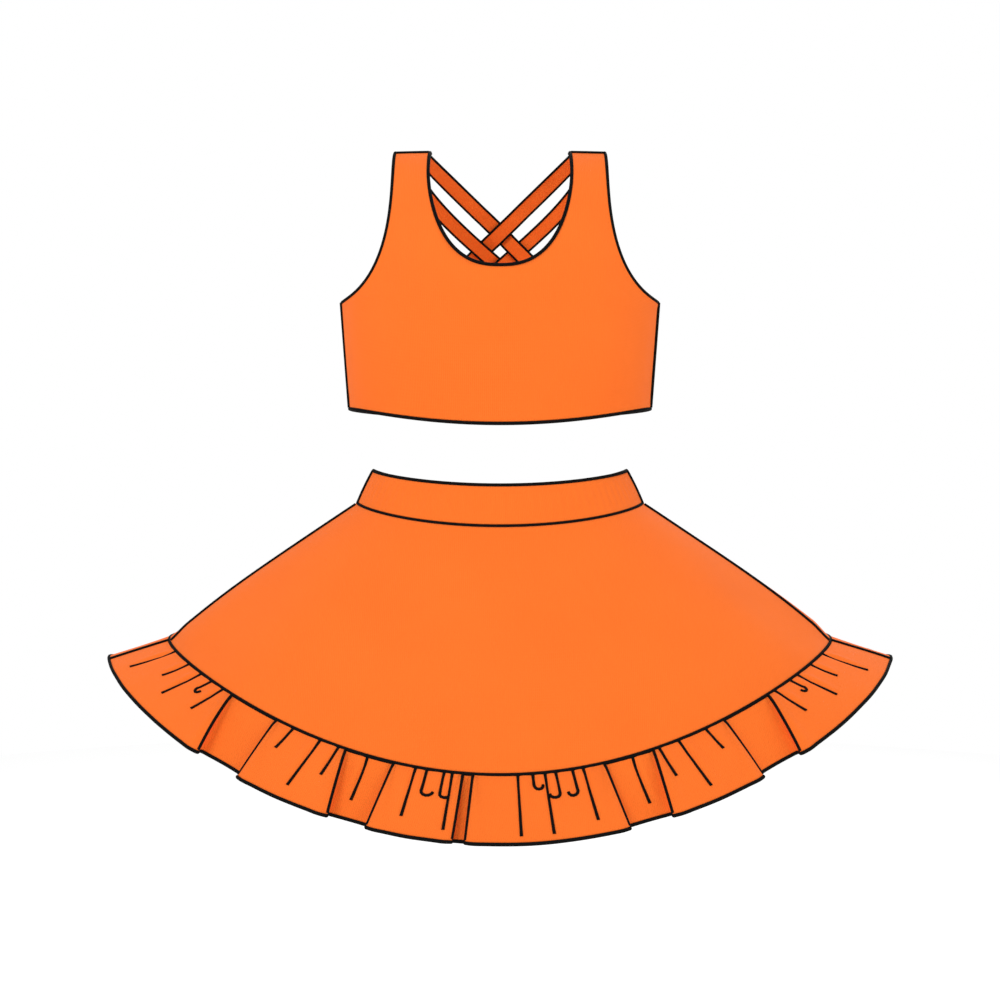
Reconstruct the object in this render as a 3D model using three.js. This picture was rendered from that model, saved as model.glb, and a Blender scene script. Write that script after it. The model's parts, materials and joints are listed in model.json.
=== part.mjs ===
// Cheer uniform: a sleeveless crop top with straps that cross at the back, and a flared skirt whose
// hem is a gathered ruffle. The two garments keep the shape that they have on the wearer, who isn't
// modelled. Millimetres, +Z up. The front faces -Y, and +X is the wearer's left. The origin is in the
// middle of the waist.

import * as THREE from 'three';
import { mergeVertices } from 'three/addons/utils/BufferGeometryUtils.js';

// ---------------------------------------------------------------- driving dimensions

// Cloth and trim
const FABRIC = 1.2;             // thickness of the outer double knit
const LINING = 0.8;             // thickness of linings, facings and seam tapes
const ELASTIC = 1.6;            // thickness of the elastics
const PIPING_RADIUS = 1.5;      // black piping on every edge and seam
const LAYER_GAP = 0.4;          // air between two layers of cloth in a band
const LINING_GAP = 3.0;         // air round the lining of the top, which hangs free inside it
const EDGE_GAP = 0.9;           // air between a cloth edge and the piping that it is sewn to
const SEAM_GAP = 0.6;           // air between two panels that a seam joins

// Crop top
const CHEST_HALF_WIDTH = 158;
const CHEST_HALF_DEPTH = 85;
const BACK_HALF_DEPTH = 78;
const TOP_HEM_HALF_WIDTH = 150;
const TOP_HEM_HALF_DEPTH = 80;
const UNDERARM_HEIGHT = 195;
const SHOULDER_HEIGHT = 346;
const TOP_HEM_HEIGHT = 91;      // at the side seams
const FRONT_HEM_DROP = 19;      // how much lower the hem is at the centre front
const BACK_HEM_DROP = 5;
const BACK_EDGE_RISE = 8;       // how far the back's upper edge rises from underarm to centre
const SHOULDER_INNER = 69.5;    // distance from the centre to the shoulder's neck side
const SHOULDER_OUTER = 104;
const NECK_HEIGHT = 220;        // lowest point of the neckline
const NECK_ROUNDNESS = 2.45;    // 2 is an ellipse, more is squarer
const ARMHOLE_ROUNDNESS = 3.5;
const TOP_ELASTIC_WIDTH = 12;
const SHOULDER_TAPE_WIDTH = 14;
const SEAM_TAPE_WIDTH = 8;

// Crossed back straps
const STRAP_THICKNESS = 1.0;
const STRAP_WEAVE = 1.1;        // how far a strap leaves the middle layer where two straps cross
const STRAP_CLEARANCE = 0.6;    // between the two straps at the shoulder
const STRAP_TUCK = 9;           // how far a strap runs down inside the back panel
const STRAP_DROPS_AT_CENTRE = [66.6, 100.8];   // drop below the shoulder at the centre line
const STRAP_LANDINGS = [76, 42];                 // where each strap meets the back's upper edge
const LOWER_STRAP_TURN = { drop: 28, across: 79 };

// Skirt: four rings from waist to hem. A ring is lower at the front and back than at the sides.
const WAIST_EDGE = { halfWidth: 126.5, halfDepth: 74, sideHeight: 29.5, drop: 15.8, curve: 1.5 };
const WAIST_SEAM = { halfWidth: 142, halfDepth: 87, sideHeight: -2.5, drop: 22.2, curve: 1.5 };
const RUFFLE_SEAM = { halfWidth: 326, halfDepth: 215, sideHeight: -134.6, drop: 95.3, curve: 2.44 };
const SKIRT_HEM = { halfWidth: 384.5, halfDepth: 255, sideHeight: -148, drop: 130.4, curve: 2.11 };
const SKIRT_FULLNESS = 10;      // how far the skirt stands out from a straight line between its rings
const ELASTIC_MARGIN = 4;       // from the elastic to the edges of the waistband
const FLUTES = 18;              // folds round the ruffle
const FLUTE_DEPTH = 8;          // how far a fold swings in and out at the hem
const FLUTE_DEPTH_AT_SEAM = 0.8;
const FLUTE_DIP = 2.5;          // how much lower the hem is on an outward fold
const RUFFLE_GAP = 0.9;         // air between the gathered edge and its piping

// Care labels
const LABEL_THICKNESS = 0.6;
const TOP_LABEL = { width: 24, length: 28 };
const SKIRT_LABEL = { width: 30, length: 36 };
const LABEL_GAP = 1.0;

// Mesh steps
const TORSO_STEPS = 32;
const SKIRT_STEPS = 48;
const RUFFLE_STEPS = FLUTES * 8;
const PIPING_SIDES = 5;

// ---------------------------------------------------------------- materials

const finish = (color, roughness) =>
  new THREE.MeshStandardMaterial({ color, roughness, metalness: 0 });
const ORANGE_KNIT = finish('#ff7b30', 0.75);
const BLACK_PIPING = finish('#161616', 0.6);
const ORANGE_LINING = finish('#e9763a', 0.85);
const WHITE_ELASTIC = finish('#efece4', 0.9);
const WHITE_LABEL = finish('#fafaf7', 0.7);

// ---------------------------------------------------------------- helpers

const { lerp, degToRad, smoothstep } = THREE.MathUtils;
const QUARTER = Math.PI / 2;

// Signed volume of a closed body: negative when its faces point in.
function signedVolume(geometry) {
  const at = geometry.attributes.position;
  const corners = geometry.index.array;
  const [a, b, c] = [0, 1, 2].map(() => new THREE.Vector3());
  let total = 0;
  for (let i = 0; i < corners.length; i += 3) {
    a.fromBufferAttribute(at, corners[i]);
    b.fromBufferAttribute(at, corners[i + 1]);
    c.fromBufferAttribute(at, corners[i + 2]);
    total += a.dot(b.cross(c)) / 6;
  }
  return total;
}

// A named mesh of one closed body with its faces pointing out.
function piece(name, geometry, material) {
  geometry.deleteAttribute('uv');
  geometry.deleteAttribute('normal');
  const body = mergeVertices(geometry, 1e-4);
  if (signedVolume(body) < 0) body.index.array.reverse();
  body.computeVertexNormals();
  const mesh = new THREE.Mesh(body, material);
  mesh.name = name;
  return mesh;
}

// Moves every vertex of a geometry to where place(vertex) says.
function reshape(geometry, place) {
  const at = geometry.attributes.position;
  const vertex = new THREE.Vector3();
  for (let i = 0; i < at.count; i += 1) {
    const moved = place(vertex.fromBufferAttribute(at, i));
    at.setXYZ(i, moved.x, moved.y, moved.z);
  }
  return geometry;
}

// A sheet of cloth: a flat box bent onto a surface. spot(u, v) gives the middle surface's point and
// its outward normal; the cloth lies between two offsets along that normal.
function sheet(stepsU, stepsV, inner, outer, spot) {
  return reshape(new THREE.BoxGeometry(1, 1, 1, stepsU, stepsV, 1), (vertex) => {
    const { at, out } = spot(vertex.x + 0.5, vertex.y + 0.5);
    return at.clone().addScaledVector(out, lerp(inner, outer, vertex.z + 0.5));
  });
}

// A closed ring: a section turned once round, then bent. frameAt(angle) gives the section's place,
// its outward axis and its second axis.
function ring(steps, section, frameAt) {
  const REACH = 50;
  const outline = section.map((p) => new THREE.Vector2(p.x + REACH, p.y));
  outline.push(outline[0].clone());
  return reshape(new THREE.LatheGeometry(outline, steps), (vertex) => {
    const frame = frameAt(Math.atan2(vertex.x, vertex.z));
    const offset = Math.hypot(vertex.x, vertex.z) - REACH;
    return frame.at.clone().addScaledVector(frame.out, offset).addScaledVector(frame.along, vertex.y);
  });
}

function roundSection(radius, sides) {
  return Array.from({ length: sides }, (_, i) => {
    const turn = (2 * Math.PI * i) / sides;
    return new THREE.Vector2(radius * Math.cos(turn), radius * Math.sin(turn));
  });
}

const flatSection = (inner, outer, low, high) =>
  [[inner, low], [outer, low], [outer, high], [inner, high]].map((p) => new THREE.Vector2(...p));

// An open cord of piping along place(t), with t from 0 to 1.
class Route extends THREE.Curve {
  constructor(place) {
    super();
    this.place = place;
  }

  getPoint(t) {
    return this.place(t);
  }
}

function openPiping(name, steps, place) {
  const section = new THREE.Shape(roundSection(PIPING_RADIUS, PIPING_SIDES));
  const options = { steps, extrudePath: new Route(place), bevelEnabled: false };
  return piece(name, new THREE.ExtrudeGeometry(section, options), BLACK_PIPING);
}

// The surface normal at (s, t), from small steps along both directions.
function normalAt(point, s, t) {
  const STEP = 1e-3;
  const alongS = point(s + STEP, t).sub(point(s - STEP, t));
  const alongT = point(s, t + STEP).sub(point(s, t - STEP));
  return alongS.cross(alongT).normalize();
}

// The curve through a few pairs [input, output].
function through(pairs, input) {
  return pairs.reduce((sum, [xi, yi]) => {
    const weight = pairs.reduce((w, [xj]) => (xj === xi ? w : w * (input - xj) / (xi - xj)), 1);
    return sum + weight * yi;
  }, 0);
}

// ---------------------------------------------------------------- the torso that the top fits

// Round the body, angle is 0 at the centre front and a quarter turn at the side. Up the body, rise
// is 0 at the underarm and a quarter turn on top of the shoulder; below the underarm it is negative.
const SHOULDER_RISE = SHOULDER_HEIGHT - UNDERARM_HEIGHT;
const HEM_FALL = UNDERARM_HEIGHT - TOP_HEM_HEIGHT;

const heightAt = (rise) => UNDERARM_HEIGHT + SHOULDER_RISE * (rise > 0 ? Math.sin(rise) : rise);

function riseAt(height) {
  const part = (height - UNDERARM_HEIGHT) / SHOULDER_RISE;
  return part > 0 ? Math.asin(part) : part;
}

function torsoPoint(angle, rise) {
  const height = heightAt(rise);
  const low = Math.max(0, (UNDERARM_HEIGHT - height) / HEM_FALL);
  const chest = Math.cos(angle) > 0 ? CHEST_HALF_DEPTH : BACK_HALF_DEPTH;
  const halfDepth = lerp(chest, chest * TOP_HEM_HALF_DEPTH / CHEST_HALF_DEPTH, low);
  const halfWidth = lerp(CHEST_HALF_WIDTH, TOP_HEM_HALF_WIDTH, low);
  const closing = rise > 0 ? Math.cos(rise) : 1;
  return new THREE.Vector3(
    halfWidth * Math.sin(angle), -halfDepth * closing * Math.cos(angle), height);
}

function torsoSpot(angle, rise) {
  return { at: torsoPoint(angle, rise), out: normalAt(torsoPoint, angle, rise) };
}

// A margin in millimetres as an angle round the body, and as a rise.
const angleOf = (margin, angle) =>
  margin / Math.hypot(CHEST_HALF_WIDTH * Math.cos(angle), CHEST_HALF_DEPTH * Math.sin(angle));
const riseOf = (margin) => margin / SHOULDER_RISE;

// Outlines on the torso. A margin moves an outline into the cloth.
const NECK_ANGLE = Math.asin(SHOULDER_INNER / CHEST_HALF_WIDTH);
const ARM_ANGLE = Math.asin(SHOULDER_OUTER / CHEST_HALF_WIDTH);
const STRAIGHT_RISE = degToRad(60);       // above this, neckline and armhole run straight up
const SHOULDER_END = QUARTER - SEAM_GAP / CHEST_HALF_DEPTH;

// A quarter of a rounded corner of size 1, between an ellipse and a square.
function corner(turn, roundness) {
  const t = Math.atan(Math.tan(turn) ** (roundness / 2));
  return [Math.cos(t) ** (2 / roundness), Math.sin(t) ** (2 / roundness)];
}

function neckline(turn, margin) {
  const [across, down] = corner(turn, NECK_ROUNDNESS);
  const halfAngle = NECK_ANGLE + angleOf(margin, NECK_ANGLE);
  const depth = STRAIGHT_RISE - riseAt(NECK_HEIGHT) + riseOf(margin);
  return [halfAngle * across, STRAIGHT_RISE - depth * down];
}

function armhole(turn, margin) {
  const [across, down] = corner(turn, ARMHOLE_ROUNDNESS);
  const armAngle = QUARTER - ARM_ANGLE;
  const halfAngle = armAngle + angleOf(margin, QUARTER - armAngle * across);
  return [QUARTER - halfAngle * across, STRAIGHT_RISE - (STRAIGHT_RISE + riseOf(margin)) * down];
}

function topHem(angle, margin) {
  const facing = Math.cos(angle);
  const drop = facing > 0 ? FRONT_HEM_DROP : BACK_HEM_DROP;
  return riseAt(TOP_HEM_HEIGHT - drop * facing ** 2 + margin);
}

const backEdge = (angle, margin) =>
  riseAt(UNDERARM_HEIGHT + BACK_EDGE_RISE * Math.cos(angle) ** 2 - margin);

// ---------------------------------------------------------------- crop top

const CLOTH = [-FABRIC / 2, FABRIC / 2];
const SECOND_LAYER = [-FABRIC / 2 - LINING_GAP - LINING, -FABRIC / 2 - LINING_GAP];
const THIRD_LAYER = SECOND_LAYER.map((offset) => offset - LINING - LINING_GAP);
const CLOTH_MARGIN = PIPING_RADIUS + EDGE_GAP;
const PIPING_END_GAP = SEAM_GAP / 2 + PIPING_RADIUS / 3;

// The front's mesh rows, from shoulder to centre: shoulder, armhole, side seam, half the hem.
const ROWS = { shoulder: 3, armhole: 9, side: 4, hem: TORSO_STEPS / 4 };
const UNDERARM_ROW = ROWS.shoulder + ROWS.armhole;
const HEM_ROW = UNDERARM_ROW + ROWS.side;
const CENTRE_ROW = HEM_ROW + ROWS.hem;
const FRONT_STEPS_ACROSS = 6;
const FIRST_STEPS_ACROSS = 3 / FRONT_STEPS_ACROSS;

// A row turns once on its way out, so that it meets the armhole from below. Each stop gives a row, the
// turn's offset from the outer outline (round the body and up it), and the row's start on the neckline.
const HALF_SHOULDER = (ARM_ANGLE - NECK_ANGLE) / 2;
const ROW_STOPS = [
  { row: 0, round: -HALF_SHOULDER, up: 0, start: 0 },
  { row: ROWS.shoulder, round: -HALF_SHOULDER, up: 0, start: 0 },
  { row: UNDERARM_ROW, round: degToRad(-18), up: degToRad(-10), start: degToRad(60) },
  { row: HEM_ROW, round: degToRad(-18), up: degToRad(10), start: degToRad(70) },
  { row: CENTRE_ROW, round: 0, up: degToRad(22), start: QUARTER },
];

function rowPlan(row) {
  const next = Math.max(1, ROW_STOPS.findIndex((stop) => row <= stop.row + 1e-6));
  const [from, to] = [ROW_STOPS[next - 1], ROW_STOPS[next]];
  const part = (row - from.row) / (to.row - from.row);
  return ['round', 'up', 'start'].map((key) => lerp(from[key], to[key], part));
}

// The outer outline at a row: shoulder, armhole, side seam or hem.
function outerOutline(row, straight, margin) {
  const sideAngle = QUARTER - SEAM_GAP / 2 / CHEST_HALF_DEPTH;
  if (row <= ROWS.shoulder) return [ARM_ANGLE - angleOf(margin, ARM_ANGLE), straight];
  if (row < UNDERARM_ROW - 0.5) return armhole(QUARTER * (row - ROWS.shoulder) / ROWS.armhole, margin);
  if (row <= HEM_ROW) {
    const down = (row - UNDERARM_ROW) / ROWS.side;
    return [sideAngle, lerp(-riseOf(margin), topHem(sideAngle, margin), down)];
  }
  const angle = sideAngle * (CENTRE_ROW - row) / ROWS.hem;
  return [angle, topHem(angle, margin)];
}

// The front wraps round the neckline: u runs along the neckline from one shoulder to the other, and v
// runs from the neckline out to the armhole, the side seam and the hem.
function frontSpot(u, v, margin) {
  const row = CENTRE_ROW * (1 - Math.abs(2 * u - 1));
  const [round, up, start] = rowPlan(row);
  const straight = lerp(SHOULDER_END, STRAIGHT_RISE, Math.min(1, row / ROWS.shoulder));
  const inner = row <= ROWS.shoulder
    ? [NECK_ANGLE + angleOf(margin, NECK_ANGLE), straight] : neckline(start, margin);
  const outer = outerOutline(row, straight, margin);
  const middle = [outer[0] + round, outer[1] + up];
  const [from, to, part] = v <= FIRST_STEPS_ACROSS
    ? [inner, middle, v / FIRST_STEPS_ACROSS]
    : [middle, outer, (v - FIRST_STEPS_ACROSS) / (1 - FIRST_STEPS_ACROSS)];
  const side = u < 0.5 ? -1 : 1;
  return torsoSpot(side * lerp(from[0], to[0], part), lerp(from[1], to[1], part));
}

function frontSheet(name, layer, margin, material) {
  const spot = (u, v) => frontSpot(u, v, margin);
  return piece(name, sheet(2 * CENTRE_ROW, FRONT_STEPS_ACROSS, ...layer, spot), material);
}

function backPanel() {
  const edge = SEAM_GAP / 2 / BACK_HALF_DEPTH;
  const spot = (u, v) => {
    const angle = lerp(QUARTER + edge, 3 * QUARTER - edge, u);
    return torsoSpot(angle, lerp(backEdge(angle, CLOTH_MARGIN), topHem(angle, CLOTH_MARGIN), v));
  };
  return piece('top_back_panel', sheet(TORSO_STEPS / 2, 4, ...CLOTH, spot), ORANGE_KNIT);
}

function neckPiping() {
  const half = (t) => {
    if (t < 0.2) return [NECK_ANGLE, lerp(SHOULDER_END, STRAIGHT_RISE, t / 0.2)];
    return neckline(QUARTER * (t - 0.2) / 0.8, 0);
  };
  return openPiping('neck_piping', 40, (t) => {
    const [angle, rise] = half(1 - Math.abs(2 * t - 1));
    return torsoPoint(t < 0.5 ? -angle : angle, rise);
  });
}

function armholePiping(name, side) {
  const lastTurn = QUARTER - PIPING_END_GAP / CHEST_HALF_DEPTH / (QUARTER - ARM_ANGLE);
  return openPiping(name, 24, (t) => {
    const straight = [ARM_ANGLE, lerp(SHOULDER_END, STRAIGHT_RISE, t / 0.3)];
    const [angle, rise] = t < 0.3 ? straight : armhole(lastTurn * (t - 0.3) / 0.7, 0);
    return torsoPoint(side * angle, rise);
  });
}

function backEdgePiping() {
  const end = PIPING_END_GAP / BACK_HALF_DEPTH;
  return openPiping('back_edge_piping', 24, (t) => {
    const angle = lerp(QUARTER + end, 3 * QUARTER - end, t);
    return torsoPoint(angle, backEdge(angle, 0));
  });
}

function topHemPiping() {
  const section = roundSection(PIPING_RADIUS, PIPING_SIDES);
  const geometry = ring(TORSO_STEPS, section, (angle) => (
    { ...torsoSpot(angle, topHem(angle, 0)), along: new THREE.Vector3(0, 0, 1) }));
  return piece('top_hem_piping', geometry, BLACK_PIPING);
}

// The elastic in the hem: a flat ring from the hem's margin up.
function topElastic() {
  const section = flatSection(THIRD_LAYER[1] - ELASTIC, THIRD_LAYER[1], 0, 1);
  const geometry = ring(TORSO_STEPS, section, (angle) => {
    const low = torsoSpot(angle, topHem(angle, CLOTH_MARGIN));
    const high = torsoPoint(angle, topHem(angle, CLOTH_MARGIN + TOP_ELASTIC_WIDTH));
    return { ...low, along: high.sub(low.at) };
  });
  return piece('top_hem_elastic', geometry, WHITE_ELASTIC);
}

// A tape behind the seam at the top of a shoulder, where the straps are sewn to the front.
function shoulderTape(name, side) {
  const halfWidth = SHOULDER_TAPE_WIDTH / 2 / CHEST_HALF_DEPTH;
  const spot = (u, v) => {
    const from = NECK_ANGLE + angleOf(CLOTH_MARGIN, NECK_ANGLE);
    const to = ARM_ANGLE - angleOf(CLOTH_MARGIN, ARM_ANGLE);
    return torsoSpot(side * lerp(from, to, v), QUARTER + lerp(-halfWidth, halfWidth, u));
  };
  return piece(name, sheet(4, 1, ...THIRD_LAYER, spot), ORANGE_LINING);
}

// A tape inside the side seam, between the underarm and the elastic.
function topSideSeam(name, side) {
  const half = SEAM_TAPE_WIDTH / 2 / CHEST_HALF_DEPTH;
  const hemMargin = CLOTH_MARGIN + TOP_ELASTIC_WIDTH + LAYER_GAP;
  const spot = (u, v) => {
    const angle = side * (QUARTER + lerp(-half, half, v));
    return torsoSpot(angle, lerp(-riseOf(CLOTH_MARGIN), topHem(angle, hemMargin), u));
  };
  return piece(name, sheet(3, 2, ...THIRD_LAYER, spot), ORANGE_LINING);
}

// ---------------------------------------------------------------- crossed straps

const SHOULDER_CLOTH = SHOULDER_OUTER - SHOULDER_INNER - 2 * EDGE_GAP;
const STRAP_WIDTH = (SHOULDER_CLOTH - STRAP_CLEARANCE) / 2;
const STRAP_START = SHOULDER_INNER + EDGE_GAP + STRAP_WIDTH / 2;
const STRAP_END = BACK_EDGE_RISE - STRAP_TUCK;
const LOWEST_DROP = SHOULDER_HEIGHT - UNDERARM_HEIGHT - STRAP_END;
const EDGE_DROP = SHOULDER_HEIGHT - UNDERARM_HEIGHT - BACK_EDGE_RISE;
const CROSSING = (STRAP_DROPS_AT_CENTRE[1] - STRAP_DROPS_AT_CENTRE[0]) / 2;

// Each strap's route: how far it is from the centre line at each drop below the shoulder. It starts on
// one side (positive) and lands on the other (negative).
const STRAP_ROUTES = [
  [[0, STRAP_START], [STRAP_DROPS_AT_CENTRE[0], 0], [EDGE_DROP, -STRAP_LANDINGS[0]]],
  [[0, STRAP_START + STRAP_WIDTH + STRAP_CLEARANCE],
    [LOWER_STRAP_TURN.drop, LOWER_STRAP_TURN.across],
    [STRAP_DROPS_AT_CENTRE[1], 0], [EDGE_DROP, -STRAP_LANDINGS[1]]],
];

// Mesh stations along a strap: closer together where the straps cross.
const STATIONS = [
  { until: degToRad(46), steps: 8 }, { until: degToRad(8), steps: 26 },
  { until: riseAt(SHOULDER_HEIGHT - LOWEST_DROP), steps: 4 },
];
const STRAP_STEPS = STATIONS.reduce((sum, station) => sum + station.steps, 0);

function strapRise(u) {
  let left = u * STRAP_STEPS;
  let from = QUARTER - SEAM_GAP / BACK_HALF_DEPTH;
  for (const { until, steps } of STATIONS) {
    if (left <= steps) return lerp(from, until, left / steps);
    left -= steps;
    from = until;
  }
  return from;
}

// Over and under: each strap crosses one strap at the centre line and the other one a little further
// out. It passes them on opposite faces. onward is the distance from the centre line towards that
// outer crossing.
function weaveLift(onward) {
  if (onward < 0) return STRAP_WEAVE * (1 - smoothstep(-onward, 0.7 * CROSSING, 1.4 * CROSSING));
  if (onward > CROSSING) {
    return -STRAP_WEAVE * (1 - smoothstep(onward, 2 * CROSSING, 2.8 * CROSSING));
  }
  return STRAP_WEAVE * Math.tanh(3 * Math.cos((Math.PI * onward) / CROSSING)) / Math.tanh(3);
}

function strap(name, side, route) {
  const crossesOnward = route === STRAP_ROUTES[0] ? -1 : 1;
  const centre = (u) => {
    const rise = strapRise(u);
    const drop = SHOULDER_HEIGHT - heightAt(rise);
    const across = side * through(route, drop);
    const onward = crossesOnward * side * across;
    const spot = torsoSpot(Math.PI - Math.asin(across / CHEST_HALF_WIDTH), rise);
    const inside = FABRIC / 2 + PIPING_RADIUS + STRAP_THICKNESS / 2;
    const tuck = inside * smoothstep(drop, EDGE_DROP - 26, EDGE_DROP - 11);
    return { ...spot, lift: -side * weaveLift(onward) - tuck };
  };
  const spot = (u, v) => {
    const { at, out, lift } = centre(u);
    const [before, after] = [u - 1e-4, u + 1e-4].map((t) => centre(Math.min(1, Math.max(0, t))).at);
    const across = out.clone().cross(after.sub(before)).normalize();
    at.addScaledVector(across, (v - 0.5) * STRAP_WIDTH).addScaledVector(out, lift);
    return { at, out };
  };
  const half = STRAP_THICKNESS / 2;
  return piece(name, sheet(STRAP_STEPS, 1, -half, half, spot), ORANGE_KNIT);
}

// ---------------------------------------------------------------- skirt

function ringPoint(edge, angle) {
  const facing = Math.abs(Math.cos(angle));
  return new THREE.Vector3(edge.halfWidth * Math.sin(angle), -edge.halfDepth * Math.cos(angle),
    edge.sideHeight - edge.drop * facing ** edge.curve);
}

// A band of cloth between two rings. part is 0 on the upper ring and 1 on the lower one. shape adds
// to the straight line between them.
function band(upper, lower, shape = () => new THREE.Vector3()) {
  const point = (angle, part) =>
    ringPoint(upper, angle).lerp(ringPoint(lower, angle), part).add(shape(angle, part));
  const slant = (angle) => ringPoint(upper, angle).distanceTo(ringPoint(lower, angle));
  const spot = (angle, part) => ({
    at: point(angle, part),
    out: normalAt(point, angle, part).negate(),
    along: point(angle, part - 1e-3).sub(point(angle, part + 1e-3)).normalize(),
  });
  return { spot, slant };
}

const outwards = (angle) => new THREE.Vector3(Math.sin(angle), -Math.cos(angle), 0);

const waistband = band(WAIST_EDGE, WAIST_SEAM);
const skirt = band(WAIST_SEAM, RUFFLE_SEAM, (angle, part) =>
  outwards(angle).multiplyScalar(SKIRT_FULLNESS * Math.sin(Math.PI * part)));

// The ruffle's folds: shallow at the seam, full at the hem, and lower where they swing out.
const ruffle = band(RUFFLE_SEAM, SKIRT_HEM, (angle, part) => {
  const wave = 0.85 * Math.cos(FLUTES * angle + Math.PI) + 0.15 * Math.cos(2 * FLUTES * angle);
  const swing = outwards(angle).multiplyScalar(wave * lerp(FLUTE_DEPTH_AT_SEAM, FLUTE_DEPTH, part));
  return swing.add(new THREE.Vector3(0, 0, -FLUTE_DIP * part * wave));
});

// A ring of flat section inside the waistband, between two margins from its edges.
function bandRing(layer, margin) {
  const [inner, outer] = layer;
  const section = flatSection(inner, outer, 0, 1);
  return ring(SKIRT_STEPS, section, (angle) => {
    const inset = margin / waistband.slant(angle);
    const low = waistband.spot(angle, 1 - inset);
    const high = waistband.spot(angle, inset);
    return { at: low.at, out: low.out, along: high.at.sub(low.at) };
  });
}

// Round piping along one ring of a band.
function ringPiping(name, cloth, part) {
  const geometry = ring(SKIRT_STEPS, roundSection(PIPING_RADIUS, PIPING_SIDES), (angle) =>
    cloth.spot(angle, part));
  return piece(name, geometry, BLACK_PIPING);
}

// Half of a band, front or back, between the side seams.
function halfBand(name, cloth, facing, steps, margins) {
  const spot = (u, v) => {
    const slant = cloth.slant(lerp(-QUARTER, QUARTER, u));
    const part = lerp(margins[0] / slant, 1 - margins[1] / slant, v);
    const halfDepth = Math.abs(cloth.spot(0, part).at.y);
    const end = QUARTER - SEAM_GAP / 2 / halfDepth;
    return cloth.spot(facing + lerp(-end, end, u), part);
  };
  return piece(name, sheet(...steps, ...CLOTH, spot), ORANGE_KNIT);
}

// The narrow black edge rolled onto the ruffle's hem.
function hemEdging() {
  const geometry = ring(RUFFLE_STEPS, roundSection(PIPING_RADIUS, 4), (angle) =>
    ruffle.spot(angle, 1));
  return piece('ruffle_hem_edging', geometry, BLACK_PIPING);
}

function skirtSideSeam(name, side) {
  const spot = (u, v) => {
    const slant = skirt.slant(QUARTER);
    const part = lerp(CLOTH_MARGIN / slant, 1 - CLOTH_MARGIN / slant, u);
    const halfDepth = lerp(WAIST_SEAM.halfDepth, RUFFLE_SEAM.halfDepth, part);
    return skirt.spot(side * QUARTER + (v - 0.5) * SEAM_TAPE_WIDTH / halfDepth, part);
  };
  return piece(name, sheet(4, 2, ...SECOND_LAYER, spot), ORANGE_LINING);
}

// ---------------------------------------------------------------- labels

// A flat label that hangs from a point inside the garment.
function label(name, size, hang) {
  const box = new THREE.BoxGeometry(size.width, LABEL_THICKNESS, size.length);
  const mesh = piece(name, box, WHITE_LABEL);
  mesh.position.copy(hang).add(new THREE.Vector3(0, 0, -size.length / 2));
  return mesh;
}

// ---------------------------------------------------------------- assembly

const WAIST_ELASTIC_LAYER = [-FABRIC / 2 - LAYER_GAP - ELASTIC, -FABRIC / 2 - LAYER_GAP];
const FACING_LAYER = [WAIST_ELASTIC_LAYER[0] - LAYER_GAP - LINING, WAIST_ELASTIC_LAYER[0] - LAYER_GAP];

const top = new THREE.Group();
top.add(
  frontSheet('top_front_panel', CLOTH, CLOTH_MARGIN, ORANGE_KNIT),
  frontSheet('top_front_lining', SECOND_LAYER, CLOTH_MARGIN, ORANGE_LINING),
  backPanel(),
  neckPiping(),
  armholePiping('armhole_piping_left', 1),
  armholePiping('armhole_piping_right', -1),
  backEdgePiping(),
  topHemPiping(),
  topElastic(),
);
for (const [word, side] of [['left', 1], ['right', -1]]) {
  top.add(
    strap(`back_strap_${word}_upper`, side, STRAP_ROUTES[0]),
    strap(`back_strap_${word}_lower`, side, STRAP_ROUTES[1]),
    shoulderTape(`shoulder_tape_${word}`, side),
    topSideSeam(`top_side_seam_${word}`, side),
  );
}
const topLabelHang = torsoPoint(Math.PI, backEdge(Math.PI, CLOTH_MARGIN + 3));
topLabelHang.y -= FABRIC + LABEL_GAP + LABEL_THICKNESS;
top.add(label('top_care_label', TOP_LABEL, topLabelHang));

const lower = new THREE.Group();
lower.add(
  piece('waistband_shell', bandRing(CLOTH, CLOTH_MARGIN), ORANGE_KNIT),
  piece('waistband_elastic', bandRing(WAIST_ELASTIC_LAYER, ELASTIC_MARGIN), WHITE_ELASTIC),
  piece('waistband_facing', bandRing(FACING_LAYER, CLOTH_MARGIN), ORANGE_LINING),
  ringPiping('waistband_top_piping', waistband, 0),
  ringPiping('waist_seam_piping', waistband, 1),
  halfBand('skirt_front_panel', skirt, 0, [SKIRT_STEPS / 2, 4], [CLOTH_MARGIN, CLOTH_MARGIN]),
  halfBand('skirt_back_panel', skirt, Math.PI, [SKIRT_STEPS / 2, 4], [CLOTH_MARGIN, CLOTH_MARGIN]),
  skirtSideSeam('skirt_side_seam_left', 1),
  skirtSideSeam('skirt_side_seam_right', -1),
  ringPiping('ruffle_seam_piping', skirt, 1),
  halfBand('ruffle_front', ruffle, 0, [RUFFLE_STEPS / 2, 2],
    [PIPING_RADIUS + RUFFLE_GAP, CLOTH_MARGIN]),
  halfBand('ruffle_back', ruffle, Math.PI, [RUFFLE_STEPS / 2, 2],
    [PIPING_RADIUS + RUFFLE_GAP, CLOTH_MARGIN]),
  hemEdging(),
);
const skirtLabelHang = waistband.spot(Math.PI, 1).at;
skirtLabelHang.y += FACING_LAYER[0] - LABEL_GAP - LABEL_THICKNESS;
lower.add(label('skirt_care_label', SKIRT_LABEL, skirtLabelHang));

const uniform = new THREE.Group();
uniform.add(top, lower);
export default uniform;
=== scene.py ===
# %% [markdown]
# # A cheer uniform: cropped top and ruffled skirt
# Two garments of orange double knit, with black piping on every edge and seam. They keep the shape
# that they have on the wearer, who isn't modelled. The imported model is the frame: it says where each
# piece lies, and each piece here is sewn finely in the place of the plain solid that it stands for.

# %% Load the frame
import json
import math
import random

import bmesh
import bpy
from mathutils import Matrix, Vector, noise

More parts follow.
